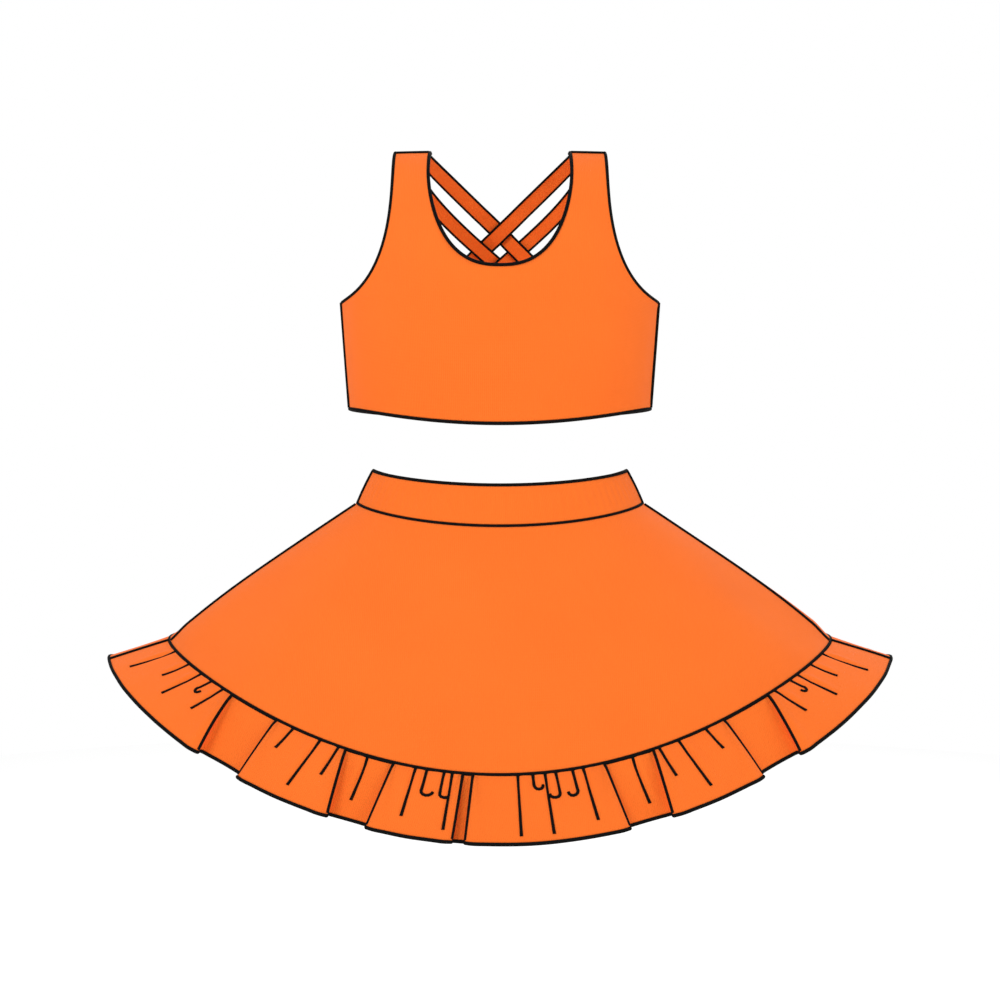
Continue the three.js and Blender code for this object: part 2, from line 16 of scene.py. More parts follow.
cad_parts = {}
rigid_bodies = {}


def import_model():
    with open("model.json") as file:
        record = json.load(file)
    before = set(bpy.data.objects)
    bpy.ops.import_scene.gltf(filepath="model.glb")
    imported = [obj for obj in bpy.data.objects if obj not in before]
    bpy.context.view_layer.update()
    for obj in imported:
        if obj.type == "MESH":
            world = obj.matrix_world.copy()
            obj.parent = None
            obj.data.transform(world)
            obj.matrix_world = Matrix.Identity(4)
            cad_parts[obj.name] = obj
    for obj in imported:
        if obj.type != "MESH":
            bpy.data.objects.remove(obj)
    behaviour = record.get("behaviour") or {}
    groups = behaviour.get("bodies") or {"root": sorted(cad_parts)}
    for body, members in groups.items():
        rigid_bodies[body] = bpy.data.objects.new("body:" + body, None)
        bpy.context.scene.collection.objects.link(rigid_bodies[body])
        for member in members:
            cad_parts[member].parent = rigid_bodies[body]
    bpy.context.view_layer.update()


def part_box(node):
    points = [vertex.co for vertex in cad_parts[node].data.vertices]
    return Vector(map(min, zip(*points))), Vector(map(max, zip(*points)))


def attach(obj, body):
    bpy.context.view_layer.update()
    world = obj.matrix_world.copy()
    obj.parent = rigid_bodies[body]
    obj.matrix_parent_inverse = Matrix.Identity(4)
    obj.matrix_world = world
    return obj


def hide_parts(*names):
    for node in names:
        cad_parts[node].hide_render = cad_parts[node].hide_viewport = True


for leftover in list(bpy.data.objects):
    bpy.data.objects.remove(leftover)
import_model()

# %% [markdown]
# ## Camera, light and floor
# The uniform is seen straight from the front, level with the waist. Broad soft lights keep the orange
# even, as on a catalogue page, and the one from the upper left is a little stronger, so that folds
# have a light and a dark side. The white surround shows brighter to the eye than it shines on the
# cloth, so the picture's ground is white and the orange isn't washed out. The floor is where a
# standing wearer's feet would be, and its paint glows a little, so that it stays as pale as the rest.

# %% The camera in front of the waist
CAMERA_DISTANCE = 1.3
SEEN_WIDTH = 1.0
SENSOR = 36.0

camera = bpy.data.objects.new("camera", bpy.data.cameras.new("camera"))
camera.data.sensor_width = SENSOR
camera.data.lens = SENSOR * CAMERA_DISTANCE / SEEN_WIDTH
camera.location = (0, -CAMERA_DISTANCE, 0)
camera.rotation_euler = (math.pi / 2, 0, 0)
bpy.context.scene.collection.objects.link(camera)
bpy.context.scene.camera = camera
print("lens:", round(camera.data.lens, 1), "mm")


# %% Soft lights from both sides, and a white surround
def soft_light(name, place, size, watts):
    """A square lamp that faces the middle of the object."""
    lamp = bpy.data.lights.new(name, "AREA")
    lamp.size = size
    lamp.energy = watts
    holder = bpy.data.objects.new(name, lamp)
    holder.location = place
    holder.rotation_euler = (-Vector(place)).to_track_quat("-Z", "Y").to_euler()
    bpy.context.scene.collection.objects.link(holder)


soft_light("key_light", (-1.6, -1.9, 2.2), 1.2, 35)
soft_light("fill_light", (2.0, -2.0, 0.8), 2.0, 16)
soft_light("back_light", (0.8, 2.4, 2.0), 2.0, 22)

SURROUND_SEEN = 1.0           # how bright the surround is to the camera
SURROUND_LIGHT = 0.68         # and as a light on the cloth
world = bpy.data.worlds.new("studio")
world.use_nodes = True
surround = world.node_tree.nodes["Background"]
surround.inputs["Color"].default_value = (1, 1, 1, 1)
seen = world.node_tree.nodes.new("ShaderNodeLightPath")
strength = world.node_tree.nodes.new("ShaderNodeMapRange")
strength.inputs["To Min"].default_value = SURROUND_LIGHT
strength.inputs["To Max"].default_value = SURROUND_SEEN
world.node_tree.links.new(seen.outputs["Is Camera Ray"], strength.inputs["Value"])
world.node_tree.links.new(strength.outputs["Result"], surround.inputs["Strength"])
bpy.context.scene.world = world
bpy.context.scene.view_settings.view_transform = "Standard"


# %% A pale floor
FLOOR_HEIGHT = -0.95          # under the feet of a standing wearer
FLOOR_RADIUS = 4.0
mesh = bmesh.new()
bmesh.ops.create_circle(mesh, cap_ends=True, segments=96, radius=FLOOR_RADIUS)
floor = bpy.data.objects.new("floor", bpy.data.meshes.new("floor"))
bmesh.ops.translate(mesh, verts=mesh.verts, vec=(0, 0, FLOOR_HEIGHT))
mesh.to_mesh(floor.data)
mesh.free()
bpy.context.scene.collection.objects.link(floor)
paint = bpy.data.materials.new("pale floor")
paint.use_nodes = True
matt = paint.node_tree.nodes["Principled BSDF"]
matt.inputs["Base Color"].default_value = (0.9, 0.9, 0.9, 1)
matt.inputs["Roughness"].default_value = 0.9
matt.inputs["Specular IOR Level"].default_value = 0.0
matt.inputs["Emission Color"].default_value = (1, 1, 1, 1)
matt.inputs["Emission Strength"].default_value = 0.3
floor.data.materials.append(paint)
print("floor at", FLOOR_HEIGHT, "m")

# %% [markdown]
# ## Sizes taken from the frame
# The piping runs along every outline, so the boxes round the piping nodes give the outline's sizes.
# A box is one piping radius larger than the line that the piping follows.

# %% Sizes of the top and of the skirt's rings
MM = 0.001
PIPING = 1.5 * MM             # radius
BOUND = 1.8 * MM              # the same with the binding folded round it
FABRIC = 1.2 * MM             # thickness of the double knit
LINING = 0.8 * MM
ELASTIC = 1.6 * MM


def outline_box(node):
    """The corners of the line that a piping follows."""
    low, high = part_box(node)
    edge = Vector((PIPING, PIPING, PIPING))
    return low + edge, high - edge


neck_low, neck_high = outline_box("neck_piping")
arm_low = outline_box("armhole_piping_left")[0]
back_high = outline_box("back_edge_piping")[1]
hem_low, hem_high = outline_box("top_hem_piping")

SHOULDER_TOP = neck_high.z
UNDERARM = arm_low.z
NECK_BOTTOM = neck_low.z
NECK_SIDE = neck_high.x
ARM_SIDE = arm_low.x
CHEST_WIDTH = back_high.x     # half widths and half depths, as all sizes of this body
CHEST_DEPTH = -(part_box("top_front_panel")[0].y + FABRIC / 2)
BACK_DEPTH = back_high.y
HEM_WIDTH = hem_high.x
HEM_DEPTH = -hem_low.y
TOP_HEM = hem_high.z
FRONT_DROP = hem_high.z - hem_low.z
BACK_DROP = 5 * MM
BACK_RISE = back_high.z - UNDERARM
print("chest half width and depth:", round(CHEST_WIDTH, 4), round(CHEST_DEPTH, 4))


# %% The four rings of the skirt
HEM_SWING = 8 * MM            # how far the plain ruffle's folds go in and out
HEM_DIP = 2.5 * MM            # and how much lower they make its hem


def ring_of(node, curve, swing=0.0, dip=0.0):
    """A ring's half width and depth, its height at the sides, and how far its front hangs lower."""
    low, high = outline_box(node)
    return {
        "width": high.x - swing,
        "depth": -low.y - swing * 0.45,
        "height": high.z,
        "drop": high.z - low.z + dip * 0.5,
        "curve": curve,
    }


WAIST_EDGE = ring_of("waistband_top_piping", 1.5)
WAIST_SEAM = ring_of("waist_seam_piping", 1.5)
RUFFLE_SEAM = ring_of("ruffle_seam_piping", 2.44)
RUFFLE_HEM = ring_of("ruffle_hem_edging", 2.11, HEM_SWING, HEM_DIP)
for edge in (WAIST_EDGE, WAIST_SEAM, RUFFLE_SEAM, RUFFLE_HEM):
    print({key: round(value, 4) for key, value in edge.items()})

# %% [markdown]
# ## Bent grids: how every piece of cloth is cut and sewn here
# Cloth is a flat pattern piece that is bent onto the body. So each piece starts as a flat grid, and
# each of its points is moved to where the bent piece has it. The UV map keeps the flat pattern in
# metres: the knit follows it, and it gives the size that the cloth was cut to. A piping is made the
# same way, from a grid that is also closed round its route.

# %% Small measures
def mix(a, b, part):
    return a + (b - a) * part


def bow(start, bend, end, part):
    """A curve from start to end that is pulled towards a bend."""
    return mix(mix(start, bend, part), mix(bend, end, part), part)


def ease(value, start, end):
    """0 before start, 1 after end, and smooth between them."""
    part = min(1.0, max(0.0, (value - start) / (end - start)))
    return part * part * (3 - 2 * part)


def slope(point, s, t):
    """The outward normal of point(s, t), where s runs round to the wearer's left and t runs up."""
    step = 1e-3
    along_s = point(s + step, t) - point(s - step, t)
    along_t = point(s, t + step) - point(s, t - step)
    return along_s.cross(along_t).normalized()


def away(point):
    """The horizontal direction from the middle of the body to a point."""
    return Vector((point.x, point.y, 0)).normalized()


# %% Finish a mesh as a named piece
made = {}


def piece(name, mesh, finish, body, node=None, solidify=0.0, smooth=0):
    """Turns a bmesh into an object that rides on a body and may stand for a CAD node."""
    for face in mesh.faces:
        face.smooth = True
    data = bpy.data.meshes.new(name)
    mesh.to_mesh(data)
    mesh.free()
    made[name] = thing = bpy.data.objects.new(name, data)
    bpy.context.scene.collection.objects.link(thing)
    data.materials.append(finish["material"])
    if solidify:
        wall = thing.modifiers.new("thickness", "SOLIDIFY")
        wall.thickness = solidify
        wall.offset = 0
    if smooth:
        rounding = thing.modifiers.new("rounding", "SUBSURF")
        rounding.levels = smooth
        rounding.render_levels = smooth
    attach(thing, body)
    if node:
        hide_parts(*([node] if isinstance(node, str) else node))
    return thing


# %% A grid bent into cloth, and its flat size
def bent_grid(steps_across, steps_up, spot):
    """A grid whose points go where spot(u, v) says. It gives a point and its place on the pattern."""
    mesh = bmesh.new()
    bmesh.ops.create_grid(mesh, x_segments=steps_across, y_segments=steps_up, size=0.5)
    pattern = mesh.loops.layers.uv.new("pattern")
    flat = {}
    for vertex in mesh.verts:
        vertex.co, flat[vertex] = spot(vertex.co.x + 0.5, vertex.co.y + 0.5)
    for face in mesh.faces:
        for loop in face.loops:
            loop[pattern].uv = flat[loop.vert]
    mesh.normal_update()
    return mesh


def sink(mesh, depth):
    """Moves a bent grid inwards, to the place of a second or third layer of cloth."""
    for vertex in mesh.verts:
        vertex.co -= vertex.normal * depth
    return mesh


def cut_size(thing):
    """Width, length and area of a piece on its flat pattern."""
    layer = thing.data.uv_layers[0].data
    places = [corner.uv for corner in layer]
    width = max(p.x for p in places) - min(p.x for p in places)
    length = max(p.y for p in places) - min(p.y for p in places)
    area = 0.0
    for face in thing.data.polygons:
        corners = [layer[i].uv for i in face.loop_indices]
        area += abs(sum(a.cross(b) for a, b in zip(corners, corners[1:] + corners[:1]))) / 2
    return (width, length), area


def declare_cloth(thing):
    """Prints a piece's flat size and area, from its pattern."""
    size, area = cut_size(thing)
    min(area, size[0] * size[1])
    print(f"{thing.name}: cut {size[0]:.3f} x {size[1]:.3f} m, {area:.4f} m2")
    return thing


# %% Piping: a grid closed round a route
def tube(route, steps, radius, upright=away, sides=8, closed=False):
    """A round cord along route(t). upright(point) is a direction that the route never follows."""
    points = [route(i / steps) for i in range(steps + 1)]
    lengths = [0.0]
    for before, after in zip(points, points[1:]):
        lengths.append(lengths[-1] + (after - before).length)

    def spot(u, v):
        i = round(u * steps)
        before = points[i - 1 if i or not closed else steps - 1] if i or closed else points[i]
        after = points[(i + 1 if i < steps else 1)] if i < steps or closed else points[i]
        forward = (after - before).normalized()
        side = forward.cross(upright(points[i])).normalized()
        out = side.cross(forward)
        turn = 2 * math.pi * v
        place = points[i] + (out * math.cos(turn) + side * math.sin(turn)) * radius
        return place, (lengths[i], v * 2 * math.pi * radius)

    mesh = bent_grid(steps, sides, spot)
    bmesh.ops.remove_doubles(mesh, verts=mesh.verts, dist=radius * 1e-3)
    rims = [edge for edge in mesh.edges if edge.is_boundary]
    if rims:
        bmesh.ops.holes_fill(mesh, edges=rims)
    bmesh.ops.recalc_face_normals(mesh, faces=mesh.faces)
    return mesh


print("helpers ready")

# %% [markdown]
# ## Shader maths on wires
# A finish is worked out from the pattern: waves for the loops of the knit, noise for uneven dye. One
# small class holds a node's output and turns arithmetic on it into Math nodes, so that the formula
# of a weave reads as a formula.

# %% One wire of a shader
class Wire:
    """An output of a shader node. Arithmetic on wires adds the nodes that work it out."""

    def __init__(self, socket):
        self.socket = socket

    def node(self, kind, settings=(), inputs=(), output=0):
        """Adds a node: its settings first, then its inputs, as values or as wires."""
        tree = self.socket.id_data
        made_node = tree.nodes.new(kind)
        for key, value in dict(settings).items():
            setattr(made_node, key, value)
        for key, value in dict(inputs).items():
            if isinstance(value, Wire):
                tree.links.new(value.socket, made_node.inputs[key])
            else:
                made_node.inputs[key].default_value = value
        return Wire(made_node.outputs[output])

    def math(self, operation, first, second=0.0):
        return self.node("ShaderNodeMath", {"operation": operation}, {0: first, 1: second})

    def __add__(self, other):
        return self.math("ADD", self, other)

    def __sub__(self, other):
        return self.math("SUBTRACT", self, other)

    def __rsub__(self, other):
        return self.math("SUBTRACT", other, self)

    def __mul__(self, other):
        return self.math("MULTIPLY", self, other)

    __radd__ = __add__
    __rmul__ = __mul__

    def wave(self):
        """A sine of this wire, from -1 to 1."""
        return self.math("SINE", self)

    def size(self):
        return self.math("ABSOLUTE", self)

    def blend(self, low, high):
        """A colour between two others."""
        return self.node("ShaderNodeMix", {"data_type": "RGBA"}, {0: self, 6: low, 7: high}, 2)


# %% Start a finish, and feed it
# Every piece of cloth, piping and ribbon has the UV map "pattern", in metres, so a finish is drawn in
# the thickness of yarns and threads and never stretches with the piece.
def start_finish(name, slot, roughness, sheen=0.0, gloss=0.3):
    """A new material with the constants on its shader, and the pattern's two directions."""
    material = bpy.data.materials.new(name)
    material.use_nodes = True
    shader = material.node_tree.nodes["Principled BSDF"]
    shader.inputs["Roughness"].default_value = roughness
    shader.inputs["Specular IOR Level"].default_value = gloss
    shader.inputs["Sheen Weight"].default_value = sheen
    shader.inputs["Sheen Roughness"].default_value = 0.5
    pattern = material.node_tree.nodes.new("ShaderNodeUVMap")
    pattern.uv_map = "pattern"
    place = Wire(pattern.outputs[0])
    split = place.node("ShaderNodeSeparateXYZ", {}, {0: place})
    up = Wire(split.socket.node.outputs[1])
    return {"material": material, "slot": slot, "shader": shader, "place": place,
            "across": split, "up": up}


def feed(finish, colour, height, depth, roughness=None):
    """Links a colour, and a height in metres as a bump, to a finish's shader."""
    shader = finish["shader"]
    links = finish["material"].node_tree.links
    links.new(colour.socket, shader.inputs["Base Color"])
    bump = colour.node("ShaderNodeBump", {}, {"Distance": depth, "Height": height})
    links.new(bump.socket, shader.inputs["Normal"])
    if roughness is not None:
        links.new(roughness.socket, shader.inputs["Roughness"])
    print("finish:", finish["material"].name, len(finish["material"].node_tree.nodes), "nodes")


def cloud(finish, scale, detail=2.0):
    """Uneven noise over the pattern, around 0.5. scale is in spots per metre."""
    return finish["place"].node(
        "ShaderNodeTexNoise", {"noise_dimensions": "2D"},
        {"Vector": finish["place"], "Scale": scale, "Detail": detail})


# %% [markdown]
# ## Orange double knit
# A double knit is two layers of jersey knitted as one: smooth, matt and opaque. Close up it shows
# columns of small V-shaped loops. The columns are a wave across the pattern, and the loops a wave up
# it that leans towards each column's middle. The dye is a little uneven, and the loops' tops catch
# more light than the gaps between them.

# %% The knit
TURN = 2 * math.pi
ORANGE = (1.0, 0.186, 0.019, 1)
ORANGE_DEEP = (0.92, 0.156, 0.014, 1)


def knit(name, slot, light, deep, column, course, depth, sheen):
    finish = start_finish(name, slot, 0.8, sheen, 0.18)
    columns = (finish["across"] * (math.pi / column)).wave().size()
    lean = columns * 1.9
    loops = (finish["up"] * (TURN / course) + lean).wave() * 0.5 + 0.5
    fuzz = cloud(finish, 900.0)
    height = columns * 0.55 + loops * 0.35 + fuzz * 0.25
    dye = cloud(finish, 14.0, 3.0)
    # The colour is lighter on the loops' tops and darker in the gaps between them: painted light and
    # shade, mixed with the uneven dye.
    shade = height * 0.45 + dye * 0.55
    roughness = 0.92 - height * 0.16
    feed(finish, shade.blend(deep, light), height, depth, roughness)
    return finish


orange_knit = knit("orange double knit", "orange_knit", ORANGE, ORANGE_DEEP, 1.5 * MM, 1.3 * MM,
                   0.25 * MM, 0.05)
orange_lining = knit("orange lining", "orange_lining", (0.86, 0.19, 0.045, 1),
                     (0.7, 0.13, 0.03, 1), 1.0 * MM, 0.9 * MM, 0.12 * MM, 0.1)

# %% [markdown]
# ## Black bias binding
# The piping is a strip of black twill, cut on the bias and folded round a cord. Its fine ribs run at
# a slant round the cord. It is matt, so that it stays black under strong light.

# %% The binding
def binding():
    finish = start_finish("black bias binding", "black_piping", 0.8, 0.0, 0.04)
    ribs = ((finish["across"] + finish["up"]) * (TURN / (0.9 * MM))).wave() * 0.5 + 0.5
    fuzz = cloud(finish, 1500.0)
    shade = ribs * 0.6 + fuzz * 0.4
    feed(finish, shade.blend((0.002, 0.002, 0.002, 1), (0.008, 0.008, 0.008, 1)),
         shade, 0.12 * MM, 0.78 - ribs * 0.14)
    return finish


black_binding = binding()

# %% [markdown]
# ## Woven elastic and satin ribbon
# The elastic is white, with thick ribs along its length and fine picks across them. The care labels
# are satin ribbon, left blank: long threads float over the weave, so it is smooth and shines.

# %% Elastic and satin
def elastic():
    finish = start_finish("woven elastic", "white_elastic", 0.75, 0.05)
    ribs = (finish["up"] * (TURN / (1.8 * MM))).wave() * 0.5 + 0.5
    picks = (finish["across"] * (TURN / (0.9 * MM)) + ribs * 2.0).wave() * 0.5 + 0.5
    height = ribs * 0.6 + picks * 0.4
    feed(finish, height.blend((0.66, 0.64, 0.58, 1), (0.88, 0.86, 0.8, 1)), height, 0.2 * MM)
    return finish


def satin():
    finish = start_finish("label satin", "white_label", 0.32, 0.1, 0.6)
    floats = (finish["across"] * (TURN / (0.5 * MM)) + cloud(finish, 400.0) * 3.0).wave() * 0.5 + 0.5
    feed(finish, floats.blend((0.86, 0.86, 0.84, 1), (0.95, 0.95, 0.93, 1)), floats, 0.03 * MM)
    return finish


white_elastic = elastic()
label_satin = satin()

# %% [markdown]
# ## The body inside the top
# The top is cut to a body that is an ellipse round the chest, a little slimmer at the hem, and that
# closes over the shoulders. Each place on it has an angle, 0 at the centre front and a quarter turn
# at the side, and a rise, 0 at the underarm and a quarter turn on top of the shoulder.

# %% The torso's surface
QUARTER = math.pi / 2
SHOULDER_RISE = SHOULDER_TOP - UNDERARM
HEM_FALL = UNDERARM - TOP_HEM


def height_at(rise):
    return UNDERARM + SHOULDER_RISE * (math.sin(rise) if rise > 0 else rise)


def rise_at(height):
    part = (height - UNDERARM) / SHOULDER_RISE
    return math.asin(min(1.0, part)) if part > 0 else part


def torso(angle, rise):
    height = height_at(rise)
    low = max(0.0, (UNDERARM - height) / HEM_FALL)
    chest = CHEST_DEPTH if math.cos(angle) > 0 else BACK_DEPTH
    depth = chest * mix(1.0, HEM_DEPTH / CHEST_DEPTH, low)
    width = mix(CHEST_WIDTH, HEM_WIDTH, low)
    closing = math.cos(rise) if rise > 0 else 1.0
    return Vector((width * math.sin(angle), -depth * closing * math.cos(angle), height))


def torso_flat(angle, rise):
    """The place on the flat pattern: the way round the body, and the way up it."""
    return ((CHEST_WIDTH + CHEST_DEPTH) / 2 * angle, SHOULDER_RISE * rise)


def torso_out(angle, rise):
    return slope(torso, angle, rise)


# %% Outlines on the torso: a margin moves one into the cloth
NECK_ANGLE = math.asin(NECK_SIDE / CHEST_WIDTH)
ARM_ANGLE = math.asin(ARM_SIDE / CHEST_WIDTH)
STRAIGHT_RISE = math.radians(60)     # above this, neckline and armhole run straight up
NECK_ROUNDNESS = 2.45                # 2 is an ellipse, more is squarer
ARM_ROUNDNESS = 3.5


def as_angle(margin, angle):
    across, deep = CHEST_WIDTH * math.cos(angle), CHEST_DEPTH * math.sin(angle)
    return margin / math.hypot(across, deep)


def as_rise(margin):
    return margin / SHOULDER_RISE


def corner(turn, roundness):
    """A quarter of a rounded corner of size 1, between an ellipse and a square."""
    t = math.atan(math.tan(min(turn, QUARTER - 1e-9)) ** (roundness / 2))
    return max(0.0, math.cos(t)) ** (2 / roundness), max(0.0, math.sin(t)) ** (2 / roundness)


def neckline(turn, margin=0.0):
    across, down = corner(turn, NECK_ROUNDNESS)
    half = NECK_ANGLE + as_angle(margin, NECK_ANGLE)
    depth = STRAIGHT_RISE - rise_at(NECK_BOTTOM) + as_rise(margin)
    return half * across, STRAIGHT_RISE - depth * down


def armhole(turn, margin=0.0):
    across, down = corner(turn, ARM_ROUNDNESS)
    half = QUARTER - ARM_ANGLE
    local = QUARTER - half * across
    wide = half + as_angle(margin, local)
    return QUARTER - wide * across, STRAIGHT_RISE - (STRAIGHT_RISE + as_rise(margin)) * down


def top_hem(angle, margin=0.0):
    facing = math.cos(angle)
    drop = FRONT_DROP if facing > 0 else BACK_DROP
    return rise_at(TOP_HEM - drop * facing ** 2 + margin)


def back_edge(angle, margin=0.0):
    return rise_at(UNDERARM + BACK_RISE * math.cos(angle) ** 2 - margin)


print("neck and armhole angles:", round(NECK_ANGLE, 3), round(ARM_ANGLE, 3))

# %% [markdown]
# ## The front of the top
# The front is one panel with a scooped neckline. Its grid wraps round the neckline: one direction
# runs along the neckline from shoulder to shoulder, the other from the neckline out to the armhole,
# the side seam and the hem. That keeps its squares even and its edges on the outlines. Stretch knit
# lies smooth on the body, with only faint waves where it hangs from the bust, so the points are moved
# in and out by soft noise that fades at the edges. The lining is the same panel, deeper inside.

# %% Rows of the front's grid
ROWS = {"shoulder": 3, "armhole": 12, "side": 16, "centre": 24}
HALF_SHOULDER = (ARM_ANGLE - NECK_ANGLE) / 2
# Each stop gives a row, where the row bends on its way out (from the outer outline, round the body
# and up it), and where it starts on the neckline. All angles are in degrees.
ROW_STOPS = [
    (0, -math.degrees(HALF_SHOULDER), 0, 0),
    (ROWS["shoulder"], -math.degrees(HALF_SHOULDER), 0, 0),
    (ROWS["armhole"], -18, -10, 60),
    (ROWS["side"], -18, 10, 70),
    (ROWS["centre"], 0, 22, 90),
]
SHOULDER_END = QUARTER - 0.3 * MM / CHEST_DEPTH
SIDE_END = QUARTER - 0.2 * MM / CHEST_DEPTH


def row_plan(row):
    for before, after in zip(ROW_STOPS, ROW_STOPS[1:]):
        if row <= after[0] + 1e-6:
            part = (row - before[0]) / (after[0] - before[0])
            return [math.radians(mix(b, a, part)) for b, a in zip(before[1:], after[1:])]
    return [math.radians(a) for a in ROW_STOPS[-1][1:]]


def outer_outline(row, straight, margin):
    """The outer outline at a row: shoulder, armhole, side seam or hem."""
    if row <= ROWS["shoulder"]:
        return ARM_ANGLE - as_angle(margin, ARM_ANGLE), straight
    if row < ROWS["armhole"]:
        turn = QUARTER * (row - ROWS["shoulder"]) / (ROWS["armhole"] - ROWS["shoulder"])
        return armhole(turn, margin)
    if row <= ROWS["side"]:
        down = (row - ROWS["armhole"]) / (ROWS["side"] - ROWS["armhole"])
        return SIDE_END, mix(-as_rise(margin), top_hem(SIDE_END, margin), down)
    angle = SIDE_END * (ROWS["centre"] - row) / (ROWS["centre"] - ROWS["side"])
    return angle, top_hem(angle, margin)


EASE_IN_CLOTH = 1.0 * MM      # how far the cloth of the top waves in and out


def relaxed(angle, rise, edge):
    """A point on the torso, moved by faint waves. edge is 0 at the cloth's edges and 1 inside."""
    point = torso(angle, rise)
    ripple = noise.noise(Vector((angle * 2.2, rise * 1.3, 3.7)))
    ripple += 0.4 * noise.noise(Vector((angle * 6.0, rise * 2.5, 9.1)))
    return point + torso_out(angle, rise) * (ripple * EASE_IN_CLOTH * edge)


def front_spot(margin):
    def spot(u, v):
        row = ROWS["centre"] * (1 - abs(2 * u - 1))
        bend_round, bend_up, start = row_plan(row)
        straight = mix(SHOULDER_END, STRAIGHT_RISE, min(1.0, row / ROWS["shoulder"]))
        if row <= ROWS["shoulder"]:
            inner = NECK_ANGLE + as_angle(margin, NECK_ANGLE), straight
        else:
            inner = neckline(start, margin)
        outer = outer_outline(row, straight, margin)
        bend = outer[0] + bend_round, outer[1] + bend_up
        angle, rise = (bow(a, b, c, 1 - v) for a, b, c in zip(inner, bend, outer))
        angle *= -1 if u < 0.5 else 1
        edge = ease(v, 0, 0.2) * ease(1 - v, 0, 0.2) * ease(row, 0, 4)
        return relaxed(angle, rise, edge), torso_flat(angle, rise)

    return spot


# %% Sew the front and its lining
SEWN_IN = 0.5 * MM            # how far a cloth edge stays from the middle of its piping
LINING_DEPTH = 2.2 * MM
TAPE_DEPTH = 3.2 * MM
TAPE_HALF = 5.2 * MM          # half the width of a seam tape
ELASTIC_DEPTH = 3.8 * MM

front = piece("front_panel", bent_grid(240, 40, front_spot(SEWN_IN)), orange_knit, "top",
              "top_front_panel", FABRIC)
lining = piece("front_lining", sink(bent_grid(144, 24, front_spot(0.7 * MM)), LINING_DEPTH),
               orange_lining, "top", "top_front_lining", LINING)
declare_cloth(front)
declare_cloth(lining)


# %% Sew the back, which ends low so that the straps show
def back_spot(u, v):
    edge = 0.2 * MM / BACK_DEPTH
    angle = mix(QUARTER + edge, 3 * QUARTER - edge, u)
    rise = mix(top_hem(angle, SEWN_IN), back_edge(angle, SEWN_IN), v)
    inside = ease(v, 0, 0.2) * ease(1 - v, 0, 0.2) * ease(u, 0, 0.1) * ease(1 - u, 0, 0.1)
    return relaxed(angle, rise, inside), torso_flat(angle, rise)


back = piece("back_panel", bent_grid(120, 40, back_spot), orange_knit, "top", "top_back_panel",
             FABRIC)
declare_cloth(back)

# %% [markdown]
# ## Piping on the top
# Bias binding folds over each raw edge: neckline, armholes, back edge and hem. The side seams and
# the shoulder seams have the same piping sewn between the panels. A real one is a strip folded round
# a cord, which looks like an even tube, so each is a grid closed round its route.

# %% Routes of the top's piping
NECK_STRAIGHT = 0.2           # the share of a route that runs straight down from the shoulder
ARM_STRAIGHT = 0.3
ROUTE_END = 0.9 * MM          # how far a route ends from the side seam


def neck_route(t):
    part = 1 - abs(2 * t - 1)
    if part < NECK_STRAIGHT:
        angle, rise = NECK_ANGLE, mix(SHOULDER_END, STRAIGHT_RISE, part / NECK_STRAIGHT)
    else:
        angle, rise = neckline(QUARTER * (part - NECK_STRAIGHT) / (1 - NECK_STRAIGHT))
    return torso(-angle if t < 0.5 else angle, rise)


def armhole_route(side):
    last = QUARTER - ROUTE_END / CHEST_DEPTH / (QUARTER - ARM_ANGLE)

    def route(t):
        if t < ARM_STRAIGHT:
            return torso(side * ARM_ANGLE, mix(SHOULDER_END, STRAIGHT_RISE, t / ARM_STRAIGHT))
        angle, rise = armhole(last * (t - ARM_STRAIGHT) / (1 - ARM_STRAIGHT))
        return torso(side * angle, rise)

    return route


def back_edge_route(t):
    end = ROUTE_END / BACK_DEPTH
    angle = mix(QUARTER + end, 3 * QUARTER - end, t)
    return torso(angle, back_edge(angle))


def top_hem_route(t):
    angle = TURN * t
    return torso(angle, top_hem(angle))


# The side and shoulder piping lies a little ahead of its seam, on the last of the cloth that an eye in
# front still sees, so that it closes the outline of the garment.
SEAM_CORD = 1.6 * MM          # radius
ON_CLOTH = FABRIC / 2 + 0.4 * MM
FALLS_BACK = 0.5 * MM         # how far inside the outline the middle of the cord may lie


def side_angle(width, depth):
    """Just ahead of the angle where a ring turns away from an eye in front of it."""
    return math.acos(depth / CAMERA_DISTANCE) - math.sqrt(2 * FALLS_BACK / width)


def top_side_route(side):
    def route(t):
        angle = side_angle(CHEST_WIDTH, CHEST_DEPTH)
        across = (QUARTER - angle) / (QUARTER - ARM_ANGLE)
        high = STRAIGHT_RISE * (1 - (1 - across ** ARM_ROUNDNESS) ** (1 / ARM_ROUNDNESS))
        rise = mix(high, top_hem(angle, 1.2 * MM), t)
        return torso(side * angle, rise) + torso_out(side * angle, rise) * ON_CLOTH

    return route


SHOULDER_LINE = math.radians(77)     # the rise at which the shoulder turns away from the eye


def shoulder_seam_route(side):
    rise = SHOULDER_LINE

    def route(t):
        angle = side * mix(NECK_ANGLE + 0.004, ARM_ANGLE - 0.004, t)
        return torso(angle, rise) + torso_out(angle, rise) * ON_CLOTH

    return route


def upwards(point):
    return Vector((0, 0, 1))


